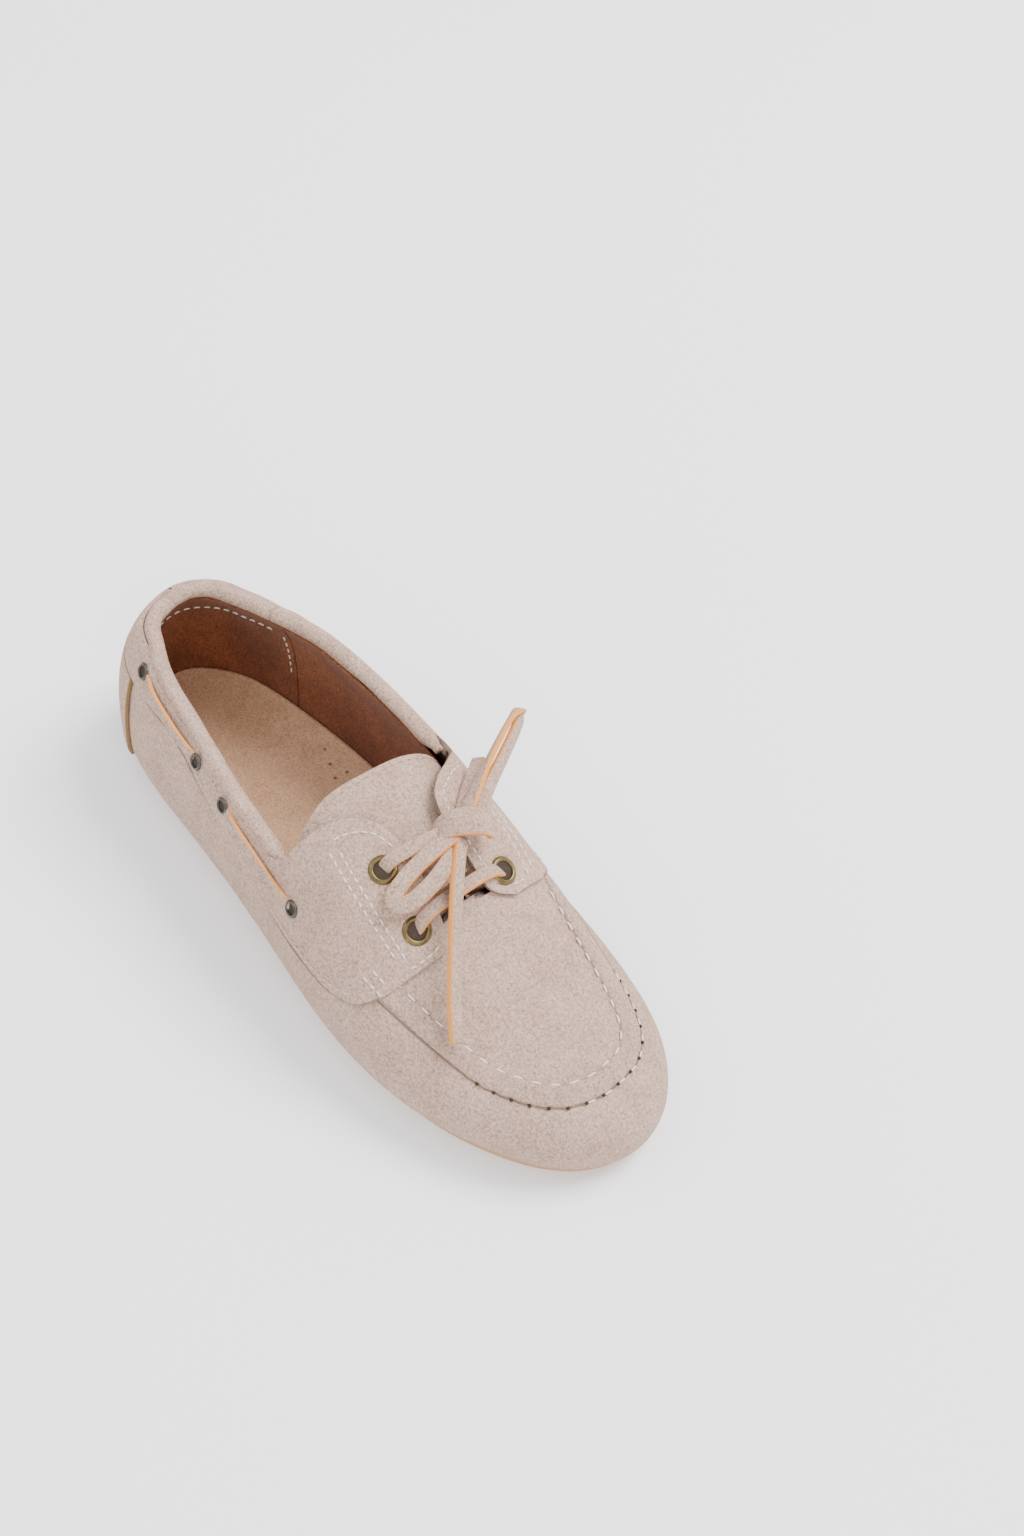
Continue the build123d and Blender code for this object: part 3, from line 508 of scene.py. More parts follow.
TAUPE = (0.455, 0.315, 0.245)
SUEDE_MAT = napped("taupe_suede", TAUPE)
SEAM_MAT = napped("taupe_suede_seam", shade(TAUPE, 0.95))
SOFT_EDGE_MAT = napped("taupe_cut_edge", shade(TAUPE, 0.55))
CREASE_MAT = fibre("seam_crease_shadow", (0.20, 0.125, 0.085), 900, 0.2)
LACE_MAT = napped("lace_suede", shade(TAUPE, 0.97), 0.27, 1300)
EDGE_MAT = fibre("suede_raw_edge", (0.30, 0.205, 0.155))
# Dark brown for the heel patch's raw edge, also painted on the footbed as the shade inside its
# perforations.
PATCH_EDGE_AND_HOLE_SHADE_MAT = fibre("patch_raw_edge_and_hole_shade", (0.24, 0.14, 0.06))
TAN_EDGE_MAT = fibre("lace_cut_edge", (0.62, 0.25, 0.06), 2600, 0.16)
LINING_MAT = woven("brown_lining", (0.22, 0.072, 0.024))
TONGUE_BACK_MAT = leather("tongue_lining_leather", (0.30, 0.15, 0.08))
FOOTBED_MAT = napped("footbed_suede", (0.60, 0.36, 0.22), 0.16, 1300, 0.0001, 0.0)
GUM_MAT = fibre("gum_rubber", (0.50, 0.30, 0.17), 900, 0.06)
CORE_MAT = fibre("board_and_cork", (0.42, 0.28, 0.16), 700, 0.35)
BRASS_MAT = antique("antique_brass", (0.030, 0.022, 0.010), (0.34, 0.26, 0.12))
DARK_BRASS_MAT = antique("dark_brass", (0.022, 0.020, 0.018), (0.16, 0.15, 0.14))
THREAD_MAT = thread_material("off_white_thread", (0.80, 0.72, 0.62))
TONE_THREAD_MAT = thread_material("taupe_thread", (0.60, 0.48, 0.40))
# Near-black colour painted into needle holes and eyelet holes as the shade inside them.
HOLE_SHADE_MAT = fibre("painted_hole_shade", (0.035, 0.022, 0.015), 900, 0.2)


# ---- laces ----
LACE_WIDE, LACE_THICK = 4.4, 1.8
UP = (0.0, 0.0, 1.0)
TO_CAMERA = (0.40, -0.35, 0.85)
CROSS_STRAND = [
    (41.7, -12.3, 48.6), (41.9, -10.4, 52.6), (42.3, -4.0, 55.2), (42.6, 4.0, 55.6),
    (42.5, 12.0, 54.8), (42.0, 18.4, 52.0), (41.7, 20.2, 48.0),
]
STRAND_LATERAL = [
    (24.3, -10.1, 58.6), (24.9, -8.6, 62.2), (26.3, -2.0, 63.6), (27.3, 4.5, 63.8), (28.4, 9.9, 63.6),
]
STRAND_MEDIAL = [
    (23.8, 23.0, 58.0), (24.6, 23.2, 61.6), (28.0, 22.6, 63.4), (32.4, 20.0, 63.8),
]
LOOP_FRONT = [
    (31.5, 11.4, 65.0), (31.4, 1.2, 63.8), (32.2, -8.8, 60.9), (34.4, -15.6, 58.9),
    (38.9, -13.4, 58.6), (39.0, -4.6, 60.4), (37.2, 3.6, 62.2), (33.6, 11.6, 62.4),
]
LOOP_REAR = [
    (30.2, 15.6, 65.4), (23.4, 26.6, 67.4), (17.2, 38.6, 68.6), (10.6, 51.4, 68.2),
    (9.0, 57.0, 65.8), (12.2, 52.4, 64.2), (19.2, 39.8, 64.2), (25.2, 28.6, 64.2),
    (31.8, 18.6, 63.8),
]
END_LONG = [
    (32.7, 12.6, 63.2), (39.9, 5.4, 61.6), (47.1, -1.5, 57.9), (54.7, -8.3, 52.4),
    (61.7, -14.7, 46.2), (67.1, -19.3, 41.2), (73.5, -23.7, 37.0),
]
END_SHORT = [(28.6, 15.0, 62.6), (23.6, 21.2, 62.9), (17.6, 29.2, 62.4), (12.4, 36.6, 60.6)]


def make_bow():
    strips = {}
    lace = [LACE_MAT, TAN_EDGE_MAT]
    plan = [
        ("lace_cross", CROSS_STRAND,
         [(0.1, -1, 0.3), (0.1, -0.3, 1), UP, UP, UP, (0.1, 0.4, 1), (0.1, 1, 0.4)]),
        ("lace_lateral", STRAND_LATERAL, [(0.3, -1, 0.5), (0.4, -0.3, 0.9), TO_CAMERA, TO_CAMERA]),
        ("lace_medial", STRAND_MEDIAL, [(-0.2, 1, 0.4), (0, 0.5, 1), UP]),
        ("bow_loop_front", LOOP_FRONT,
         [(0.0, -0.2, 1), (0.1, -0.3, 1), (0.4, -0.6, 0.8), (0.5, -0.6, 0.8), (0.4, -0.3, 1),
          (0.3, -0.2, 1)]),
        ("bow_loop_rear", LOOP_REAR,
         [(-0.2, -0.3, 1), (-0.8, -0.4, 0.5), (-0.9, -0.3, 0.4), (-0.3, 1, 0.2), (0.9, 0.5, 0.4),
          (0.8, 0.4, 0.6), (0.5, 0.2, 0.9)]),
        ("lace_end_long", END_LONG, [(0.88, 0.32, 0.6), (0.88, 0.36, 0.58), (0.88, 0.36, 0.6)]),
        ("lace_end_short", END_SHORT, [(-0.3, -0.3, 1), (-0.3, -0.2, 1)]),
    ]
    for name, route, facing in plan:
        wide = LACE_WIDE * (1.2 if name == "bow_loop_front" else 1.0)
        thick = LACE_THICK * (1.35 if name == "lace_end_long" else 1.0)
        strips[name] = lace_strip("strip_" + name, route, facing, wide, thick, lace)
        finish_piece(strips[name][0], "shoe", "lace_suede", name)
    return strips


def make_knot():
    """Wide band folded over the crossing strands, its lower cut edge showing."""
    band = [(26.6, 7.6, 61.4), (27.2, 8.8, 64.4), (29.2, 12.0, 67.2), (31.8, 15.8, 67.8),
            (34.2, 19.6, 66.4), (35.2, 21.8, 63.2), (34.8, 21.6, 61.0)]
    line = curve_points(band)
    along = tangents(line)
    across = np.tile(np.array([0.80, -0.50, -0.25]), (len(line), 1))
    across -= along * np.sum(across * along, 1, keepdims=True)
    across /= np.linalg.norm(across, axis=1, keepdims=True)
    up = np.cross(across, along)
    up *= np.sign(up[len(line) // 2, 2])
    share = np.linspace(-1, 1, len(line))
    wide = 4.4 - 1.3 * share**2
    obj = tube_mesh("knot_band", line, across, up, wide, np.full(len(line), 1.05),
                    [LACE_MAT, TAN_EDGE_MAT], around=24, power=0.5,
                    pick=lambda k: 1 if k in (0, 1, 22, 23, 10, 11, 12, 13) else 0)
    core_line = np.linspace([28.0, 10.2, 62.9], [33.6, 19.4, 62.9], 9)
    along = tangents(core_line)
    side = np.cross(along, np.tile([0.0, 0.0, 1.0], (9, 1)))
    side /= np.linalg.norm(side, axis=1, keepdims=True)
    size = 1 - 0.35 * np.linspace(-1, 1, 9) ** 4
    core = tube_mesh("knot_core", core_line, side, np.tile([0.0, 0.0, 1.0], (9, 1)), 2.9 * size,
                     2.1 * size, [LACE_MAT], around=20)
    finish_piece(obj, "shoe", "lace_suede", "bow_knot")
    finish_piece(core, "shoe", "lace_suede")
    return obj, core


def side_rise(station_of):
    """The medial eyelet row stands a little lower than the lateral one."""
    return 0.0 if station_of is lateral else -3.0


def on_side(station_of, x, z, offset):
    u = station_of(x)
    return skin(u, turn_at_height(u, z + side_rise(station_of)), offset)


def side_lace_route(station_of):
    front = EYELETS_FRONT[0] if station_of is lateral else EYELETS_FRONT[2]
    down = -1 if station_of is lateral else 1
    hidden = [(front[0], front[1], 0.4), (front[0] - 2.5, front[1] + 2.5 * down, -2.0),
              (18, front[1] + 7 * down, -2.25)]
    beside = [
        (12.8, 41.1, -2.25), (8.1, 41.5, 0.4), (2.4, 42.1, 2.9), (-13, 43.8, 3.1), (-27.7, 45.4, 2.8),
        (-33.4, 46.0, 0.2), (-38.4, 46.5, -2.7), (-46.0, 47.6, -2.8), (-51.0, 48.4, 0.2),
        (-56.7, 49.3, 2.8), (-70, 51.6, 3.1), (-80.8, 53.8, 2.8), (-86.5, 54.8, 0.2),
    ]
    points = [skin(*locate(x, y), offset) for x, y, offset in hidden]
    return points + [on_side(station_of, x, z, offset) for x, z, offset in beside]


def make_side_lace(station_of, side_name):
    """Narrow strip in and out of the side eyelets, its cut edge upward and outward."""
    route = side_lace_route(station_of)
    out = -1.0 if station_of is lateral else 1.0
    facing = [(0, out * 0.75, 0.65), (0, out * 0.9, 0.45), (0, out, 0.3)]
    node = "side_lace_" + side_name
    obj, _, _, _ = lace_strip("strip_" + node, route, facing, 3.3, 1.5, [LACE_MAT, TAN_EDGE_MAT])
    return finish_piece(obj, "shoe", "lace_suede", node)


def make_heel_lace():
    rear_x, rear_z = EYELETS_SIDE[0]
    last = float(lateral(rear_x))
    u = np.linspace(-last, last, 9)
    z = np.linspace(rear_z + side_rise(medial), rear_z, 9)
    offset = [0.2, -2.2, -2.7, -2.75, -2.75, -2.75, -2.7, -2.2, 0.2]
    route = [skin(a, turn_at_height(a, b), c) for a, b, c in zip(u, z, offset)]
    facing = [(0.2, 1, 0), (-1, 0.8, 0), (-1, 0, 0), (-1, -0.8, 0), (0.2, -1, 0)]
    obj, _, _, _ = lace_strip("strip_heel_lace", route, facing, 2.6, 1.2, [LACE_MAT, TAN_EDGE_MAT])
    return finish_piece(obj, "shoe", "lace_suede", "heel_lace")


# ---- sheets and rows of stitches ----
CORNER_X = 46.0
LAT_FRONT_X, MED_FRONT_X = -3.0, -1.0
HIDDEN_LAT = smooth([(-3, 44), (20, 40.5), (46, 38)])
HIDDEN_MED = smooth([(-1, 52), (20, 44), (46, 35.5)])
LOW_LATERAL = smooth([(-92, 48.5), (-82, 48.4), (-68, 47.5), (-56.5, 44.8), (-46.8, 41.8), (-32, 38),
                      (-13.6, 33.5), (11, 30), (27, 30.5), (39, 32.6), (43.5, 34.2), (46.9, 37)])
LOW_MEDIAL = smooth([(-92, 48.5), (-82, 48), (-68, 45.5), (-51, 41), (-13, 36), (11, 32), (30, 30.5),
                     (39, 32), (43.5, 34.5), (46, 38)])
LOBE_LAT = [(-3, -26.5), (2, -15.5), (6.6, -8), (13.2, -3), (23.2, -1.5), (35, -2.6), (45, -5),
            (50.8, -9.5)]
LOBE_MED = [(-1, 34.5), (5.2, 29.5), (11.3, 20.5), (15.9, 16), (24, 13.5), (35, 12.8), (43.6, 13),
            (46.3, 15.2), (48.6, 19.5)]
TOP_TUCK = 1.5


def plain_sheet(name, face, back, materials, edge_r=0.45, close=False):
    """Sheet between two grids of points, its free edges softened. Materials: face, raw edge, back."""
    rows, cols = face.shape[:2]
    n = rows * cols
    verts = list(face.reshape(-1, 3)) + list(back.reshape(-1, 3))
    faces, picks = [], []
    for r in range(rows - 1):
        for c in range(cols if close else cols - 1):
            d = (c + 1) % cols
            quad = [r * cols + c, r * cols + d, (r + 1) * cols + d, (r + 1) * cols + c]
            faces += [quad, [v + n for v in reversed(quad)]]
            picks += [0, len(materials) - 1]
    if close:
        loops = [list(range(cols)), [(rows - 1) * cols + c for c in range(cols)][::-1]]
    else:
        ring = list(range(cols)) + [r * cols + cols - 1 for r in range(1, rows)]
        ring += [(rows - 1) * cols + c for c in range(cols - 2, -1, -1)]
        loops = [ring + [r * cols for r in range(rows - 2, 0, -1)]]
    for loop in loops:
        for a, b in zip(loop, loop[1:] + loop[:1]):
            faces.append([b, a, a + n, b + n])
            picks.append(1 if len(materials) > 1 else 0)
    obj = new_object(name, verts, faces, materials, picks)
    bevel = obj.modifiers.new("soft_edge", "BEVEL")
    bevel.width = edge_r * MM
    bevel.segments = 3
    bevel.limit_method = "ANGLE"
    bevel.angle_limit = math.radians(50)
    return obj


def skin_sheet(name, u, turn, outer, thick, materials, edge_r=0.45, close=False):
    outer = np.broadcast_to(np.asarray(outer, float), u.shape)
    return plain_sheet(name, skin(u, turn, outer), skin(u, turn, outer - thick), materials, edge_r, close)


def spread(u, low, high, rows):
    """Station and turn grids between two turn curves."""
    share = np.linspace(0, 1, rows)[:, None]
    turn = low[None, :] * (1 - share) + high[None, :] * share
    return np.broadcast_to(u, turn.shape), turn


def seam_turn(u, inside=0.0):
    """Turn of the moccasin seam, or of a line at a plan distance inside it."""
    x, cx, cy = ray(u)
    return turn_at_plan(u, reach(x, cx, cy, SEAM_LINE, closed=False) - inside)


def even(points, pitch, phase=0.5):
    """Indices, as floats, of points evenly spaced along a polyline."""
    step = np.concatenate([[0], np.cumsum(np.linalg.norm(np.diff(points, axis=0), axis=1))])
    marks = np.arange(phase * pitch, step[-1] - 0.3 * pitch, pitch)
    return np.interp(marks, step, range(len(points)))


def at_index(values, index):
    low = np.clip(np.floor(index).astype(int), 0, len(values) - 2)
    part = (index - low)[:, None]
    return values[low] * (1 - part) + values[low + 1] * part


def stitch_row(name, u, turn, offset, pitch, length, radius=0.3, material=None, lift=0.0, body="shoe"):
    """A row of short thread stitches lying in the face along a line of stations and turns."""
    line = skin(u, turn, offset)
    up = normal_at(u, turn)
    marks = even(line, pitch)
    centres, ups = at_index(line, marks), at_index(up, marks)
    along = at_index(tangents(line), marks)
    verts, faces = [], []
    around, rings = 8, 7
    for centre, rise, ahead in zip(centres, ups, along):
        side = np.cross(ahead, rise)
        base = len(verts)
        for i in range(rings):
            t = -1 + 2 * i / (rings - 1)
            swell = math.sqrt(max(0.0, 1 - abs(t) ** 3)) + 0.15
            sink = radius * (0.9 - 0.9 * t * t) - radius * 0.45 + lift
            for k in range(around):
                a = 2 * math.pi * k / around
                ring = rise * math.sin(a) + side * math.cos(a)
                verts.append(centre + ahead * t * length / 2 + rise * sink + ring * radius * swell)
        for i in range(rings - 1):
            for k in range(around):
                j = (k + 1) % around
                faces.append([base + i * around + k, base + i * around + j,
                              base + (i + 1) * around + j, base + (i + 1) * around + k])
        faces.append([base + k for k in range(around)][::-1])
        faces.append([base + (rings - 1) * around + k for k in range(around)])
    obj = new_object(name, verts, faces, [material or THREAD_MAT])
    return finish_piece(obj, body, "suede")


def plan_line(points, count=120):
    """Stations and turns under a smooth plan line."""
    line = open_curve(points, count)
    return locate(line[:, 0], line[:, 1])


def side_line(station_of, height, start, end, count=260):
    """Stations and turns along one side at a height that depends on x."""
    x = np.linspace(start, end, count)
    u = station_of(x)
    return u, turn_at_height(u, height(x))


# ---- upper ----
def wrap_top(u):
    """Turn of the wrap's upper edge at each station."""
    out = np.zeros(len(u))
    seam = seam_turn(u, -1.2)
    for k, v in enumerate(u):
        w = (v + ROUND / 2) % ROUND - ROUND / 2
        x = float(ray(v)[0])
        front = LAT_FRONT_X if w > 0 else MED_FRONT_X
        if x > CORNER_X:
            out[k] = seam[k]
        elif x > front:
            out[k] = turn_at_height(v, (HIDDEN_LAT if w > 0 else HIDDEN_MED)(x))
        else:
            out[k] = turn_at_height(v, top_height(v) - TOP_TUCK)
    return out


def make_wrap():
    u = np.linspace(0, ROUND, 420, endpoint=False)
    grid_u, turn = spread(u, np.full(u.shape, -math.pi / 2 + 0.02), wrap_top(u), 34)
    point = bare(grid_u, turn)
    top = point[-1]
    near = np.linalg.norm(point - top[None], axis=-1)
    toe = np.clip((ray(grid_u)[0] - 70) / 12, 0, 1)
    walk = np.concatenate([[0], np.cumsum(np.linalg.norm(np.diff(top, axis=0), axis=1))])
    gather = 0.28 * np.cos(2 * math.pi * walk / HAND_PITCH)[None] * np.exp(-near / 3.2) * toe
    slack = 0.22 * np.sin(grid_u / 17.0 + 1.3) * np.sin(point[..., 2] / 6.0 + grid_u / 31.0)
    roll = -0.9 * np.exp(-(near / 1.6) ** 2) * np.clip((ray(grid_u)[0] - 44) / 4, 0, 1)
    obj = skin_sheet("wrap_suede", grid_u, turn, gather + slack * 0.6 + roll, SUEDE,
                     [SUEDE_MAT, SOFT_EDGE_MAT, LINING_MAT], close=True)
    return finish_piece(obj, "shoe", "suede", "wrap")


def make_plug():
    """Flat apron of the forepart, its border tucked under the seam ridge."""
    rows, cols = 46, 60
    line = open_curve(SEAM, 260)
    centre = np.array([76.0, SPINE_Y])
    out = line - centre
    line = centre + out * (1 - 1.2 / np.linalg.norm(out, axis=1, keepdims=True))
    line = line[line[:, 0] > HINGE_X + HINGE_GAP]
    tip = int(np.argmax(line[:, 0]))
    margin = 40
    west, east = open_curve(line[: tip - margin + 1], cols), open_curve(line[tip + margin:][::-1], cols)
    nose = open_curve(line[tip - margin: tip + margin + 1], rows)
    s = np.linspace(0, 1, cols)[:, None, None]
    t = np.linspace(0, 1, rows)[None, :, None]
    front = west[-1] * (1 - t) + east[-1] * t
    plan = west[:, None] * (1 - t) + east[:, None] * t + (nose[None] - front) * s
    u, turn = locate(plan[..., 0], plan[..., 1])
    ripple = 0.18 * np.sin(plan[..., 0] / 9.0 + 0.6) * np.sin(plan[..., 1] / 8.0 + 1.0)
    obj = skin_sheet("plug_suede", u.T[::-1], turn.T[::-1], (-0.35 + ripple).T[::-1], SUEDE,
                     [SUEDE_MAT, SOFT_EDGE_MAT, LINING_MAT])
    finish_piece(obj, "shoe", "suede", "plug")
    under = skin_sheet("plug_lining_leather", u.T[::-1], turn.T[::-1], -2.0, 0.8, [LINING_MAT])
    finish_piece(under, "shoe", "lining", "plug_lining")


def make_ridge():
    """Raised band of the moccasin seam, gathered round the toe."""
    u = np.linspace(float(lateral(CORNER_X - 3)), float(medial(CORNER_X - 3)), 420)
    turn = seam_turn(u)
    centre = skin(u, turn, -0.35)
    up = normal_at(u, turn)
    along = tangents(centre)
    side = np.cross(along, up)
    side /= np.linalg.norm(side, axis=1, keepdims=True)
    walk = np.concatenate([[0], np.cumsum(np.linalg.norm(np.diff(centre, axis=0), axis=1))])
    toe = np.clip((ray(u)[0] - 72) / 10, 0, 1)
    wave = np.cos(2 * math.pi * walk / HAND_PITCH)
    wide = 3.2 + 0.12 * wave * toe
    high = 1.25 + 0.10 * wave * toe + 0.10 * np.sin(walk / 11.0)
    obj = tube_mesh("seam_ridge", centre, side, up, wide, high, [SEAM_MAT], around=28, power=0.78)
    finish_piece(obj, "shoe", "suede", "seam_welt")
    inner = seam_turn(u, 3.15)
    stitch_row("stitches_plug_seam", u[6:-6], inner[6:-6], 0.1, HAND_PITCH, 3.3, 0.28)
    outer = seam_turn(u, -3.25)
    in_toe = (ray(u)[0] > 76) & (centre[:, 0] > 80)
    if in_toe.any():
        # Dark dashes beside the toe seam: painted shade inside the needle holes.
        stitch_row("needle_holes_toe", u[in_toe], outer[in_toe], 0.02, HAND_PITCH, 1.3, 0.42, HOLE_SHADE_MAT)
        late = in_toe & (centre[:, 1] > -6)
        between = u[late] + 2.6
        stitch_row("stitches_toe", between, seam_turn(between, -3.3), -0.05, HAND_PITCH, 3.0, 0.26)
    crease = skin(u, outer, -0.1)
    obj = tube_mesh("seam_crease", crease, side, up, 0.26, 0.16, [CREASE_MAT], around=8)
    finish_piece(obj, "shoe", "suede")


def walk_station(station_of, distance):
    return distance if station_of is lateral else ROUND - distance


def saddle_grid(station_of, lobe, low, front_low, front_high, cols, rows):
    plan = np.array(lobe, float)
    turn_edge = locate(plan[:, 0], plan[:, 1])[1]
    band = np.array([0.5, 15, 32, 50, 72, 92, 112, 132])
    band_turn = turn_at_height(band, top_height(walk_station(station_of, band)) - TOP_TUCK)
    upper = smooth(list(zip(np.r_[band, plan[:, 0] + START], np.r_[band_turn, turn_edge])))
    under = np.linspace(0.5, START + front_low, 60)
    lower = smooth(list(zip(under, turn_at_height(under, low(ray(under)[0])))))
    a = np.linspace(0, 1, cols)[None, :]
    b = np.linspace(0, 1, rows)[:, None]
    front = START + front_low + (front_high - front_low) * b**0.6
    at_low = 0.5 + a * (START + front_low - 0.5) + 0 * b
    at_high = 0.5 + a * (START + front_high - 0.5) + 0 * b
    here = 0.5 + a * (front - 0.5)
    return walk_station(station_of, here), lower(at_low) * (1 - b) + upper(at_high) * b


def make_saddle(station_of, side_name):
    lobe, low, ends = (
        (LOBE_LAT, LOW_LATERAL, (46.9, 50.8)) if station_of is lateral
        else (LOBE_MED, LOW_MEDIAL, (46.0, 48.6))
    )
    u, turn = saddle_grid(station_of, lobe, low, *ends, 260, 44)
    if station_of is medial:
        u, turn = u[:, ::-1], turn[:, ::-1]
    point = bare(u, turn)
    ease = 0.28 * np.sin(point[..., 0] / 13.0) * np.sin(point[..., 2] / 7.0 + point[..., 0] / 25.0)
    near = np.linalg.norm(point - point[-1][None], axis=-1)
    ease -= 0.75 * np.exp(-(near / 1.7) ** 2) * np.clip((-4 - point[..., 0]) / 6, 0, 1)
    obj = skin_sheet("saddle_suede_" + side_name, u, turn, OVERLAY + SUEDE + ease, SUEDE,
                     [SUEDE_MAT, SOFT_EDGE_MAT, SOFT_EDGE_MAT], edge_r=0.5)
    finish_piece(obj, "shoe", "suede", "saddle_" + side_name)
    # Dark tube along the saddle's lower edge: it shows the panel's cut edge and is also painted shadow of
    # the groove under that edge.
    edge_u, edge_turn = u[0], turn[0]
    line, rise = skin(edge_u, edge_turn, 1.3), normal_at(edge_u, edge_turn)
    across = np.cross(tangents(line), rise)
    cut_edge_and_shadow_line = tube_mesh("saddle_edge_" + side_name, line, across, rise, 0.3, 0.3, [SOFT_EDGE_MAT], around=8)
    finish_piece(cut_edge_and_shadow_line, "shoe", "suede")
    top = OVERLAY + SUEDE + 0.05
    stitch_row("stitches_saddle_low_" + side_name,
               *side_line(station_of, lambda x: low(x) + 2.4, -88, 40), top, 3.0, 2.1, 0.2,
               TONE_THREAD_MAT)


def make_lobe_stitches():
    top = OVERLAY + SUEDE + 0.08
    rows = [
        ("double_a_lateral", [(9.0, -17.8), (18.7, -19.4), (31.2, -20.9), (45.0, -21.7)]),
        ("double_b_lateral", [(11.5, -15.8), (20.5, -17.3), (33.0, -18.7), (46.0, -19.5)]),
        ("rear_edge_lateral", [(7.5, -15.5), (10.0, -10.5), (15.5, -5.6), (23.5, -3.9), (31, -4.6)]),
        ("front_edge_lateral", [(48.3, -9.2), (48.7, -13), (48.5, -17), (47.6, -20.5)]),
        ("tack_a_lateral", [(39.5, -30.6), (47.4, -29.9)]),
        ("tack_b_lateral", [(40.6, -27.9), (47.6, -27.3)]),
        ("double_a_medial", [(14, 31.2), (24, 31.5), (35, 31.2), (45.0, 29.5)]),
        ("double_b_medial", [(14, 28.8), (24, 29.0), (35, 28.6), (45.4, 26.8)]),
        ("edge_medial", [(8.3, 30.5), (13.0, 23.0), (17.0, 18.2), (25, 16), (35, 15.6), (42.8, 16.2),
                         (46, 20)]),
        ("front_edge_medial", [(46.0, 20), (45.8, 24), (45.0, 27)]),
    ]
    for name, points in rows:
        u, turn = plan_line(points)
        stitch_row("stitches_" + name, u, turn, top, MACHINE_PITCH, 2.1, 0.24)


def make_heel_patch():
    t = np.linspace(-1, 1, 90)
    rows = 30
    high = np.linspace(0, 1, rows)[:, None]
    z = 8 + 39.8 * high
    edge = QUARTER - 1 - 3.0 * (46 - z) / 36
    u = edge * t[None, :]
    turn = turn_at_height(u, np.maximum(z, 14) + 0 * u)
    turn = np.where(z + 0 * u < 14, -np.arcsin(np.clip((14 - z + 0 * u) / 11, 0, 1)) * 0.8, turn)
    obj = skin_sheet("heel_patch_suede", u, turn, OVERLAY + SUEDE, SUEDE,
                     [SUEDE_MAT, PATCH_EDGE_AND_HOLE_SHADE_MAT, EDGE_MAT], edge_r=0.3)
    finish_piece(obj, "shoe", "suede", "heel_patch")


def make_collar():
    """Padded roll of suede round the top line, with small folds, and its joint on the medial side."""
    u = np.linspace(float(medial(MED_FRONT_X)) - ROUND, float(lateral(LAT_FRONT_X)), 420)
    turn = turn_at_height(u, top_height(u))
    up = skin(u, turn + 0.02) - skin(u, turn)
    up /= np.linalg.norm(up, axis=1, keepdims=True)
    out = normal_at(u, turn)
    centre = skin(u, turn, -1.4) - up * 0.3
    walk = np.arange(len(u)) * (u[1] - u[0])
    taper = np.clip(np.minimum(walk, walk[-1] - walk) / 7.0, 0.3, 1.0) ** 0.5
    plump = 1 + 0.025 * np.sin(walk / 3.1) + 0.03 * np.sin(walk / 7.7 + 1.0)
    obj = tube_mesh("collar_roll", centre, out, up, 2.65 * taper * plump, 2.4 * taper * plump,
                    [SUEDE_MAT], around=28, power=0.92)
    finish_piece(obj, "shoe", "suede", "collar")
    joint = int(np.argmin(abs(u - (float(medial(-74.5)) - ROUND))))
    angle = np.linspace(-0.35, math.pi + 0.35, 24)
    ring = centre[joint] + np.outer(np.cos(angle), out[joint]) * 2.67 * plump[joint]
    ring = ring + np.outer(np.sin(angle), up[joint]) * 2.42 * plump[joint]
    ahead = np.tile(tangents(centre)[joint], (24, 1))
    rise = ring - centre[joint]
    rise /= np.linalg.norm(rise, axis=1, keepdims=True)
    tick = tube_mesh("collar_joint", ring, ahead, rise, 0.45, 0.16, [EDGE_MAT], around=8)
    finish_piece(tick, "shoe", "suede")


# ---- inside ----
def make_linings():
    gap = 0.25
    seam = START - 74.0
    spans = [
        ("lining_heel", -seam + gap, seam - gap),
        ("lining_lateral", seam + gap, START - 1.5),
        ("lining_medial", -(START - 1.5), -seam - gap),
    ]
    for name, start, end in spans:
        u = np.linspace(start, end, 110)
        low, high = np.full(u.shape, -0.75), turn_at_height(u, top_height(u) - 2.4)
        grid_u, turn = spread(u, low, high, 24)
        ease = 0.2 * np.sin(grid_u / 9.0) * np.sin(turn * 5)
        obj = skin_sheet(name + "_leather", grid_u, turn, LINING_OUT + ease, LINING, [LINING_MAT], 0.2)
        finish_piece(obj, "shoe", "lining", name)
    u = np.linspace(float(lateral(-1.0)), float(medial(-1.0)), 260)
    grid_u, turn = spread(u, np.full(u.shape, -0.75), wrap_top(u) - 0.05, 18)
    obj = skin_sheet("vamp_lining_leather", grid_u, turn, LINING_OUT, LINING, [LINING_MAT], 0.2)
    finish_piece(obj, "shoe", "lining", "vamp_lining")
    u = np.linspace(-seam + 6, seam - 6, 200)
    turn = turn_at_height(u, top_height(u) - 12.5)
    inner_stitches("stitches_heel_lining", u, turn)
    for name, side in (("lateral", 1), ("medial", -1)):
        turn = np.linspace(0.15, float(turn_at_height(seam, 50.0)), 60)
        inner_stitches("stitches_lining_seam_" + name, np.full(60, side * (seam - 2.4)), turn)


def inner_stitches(name, u, turn):
    stitch_row(name, u, turn, -5.25, 3.4, 2.3, 0.24, THREAD_MAT, -0.1)


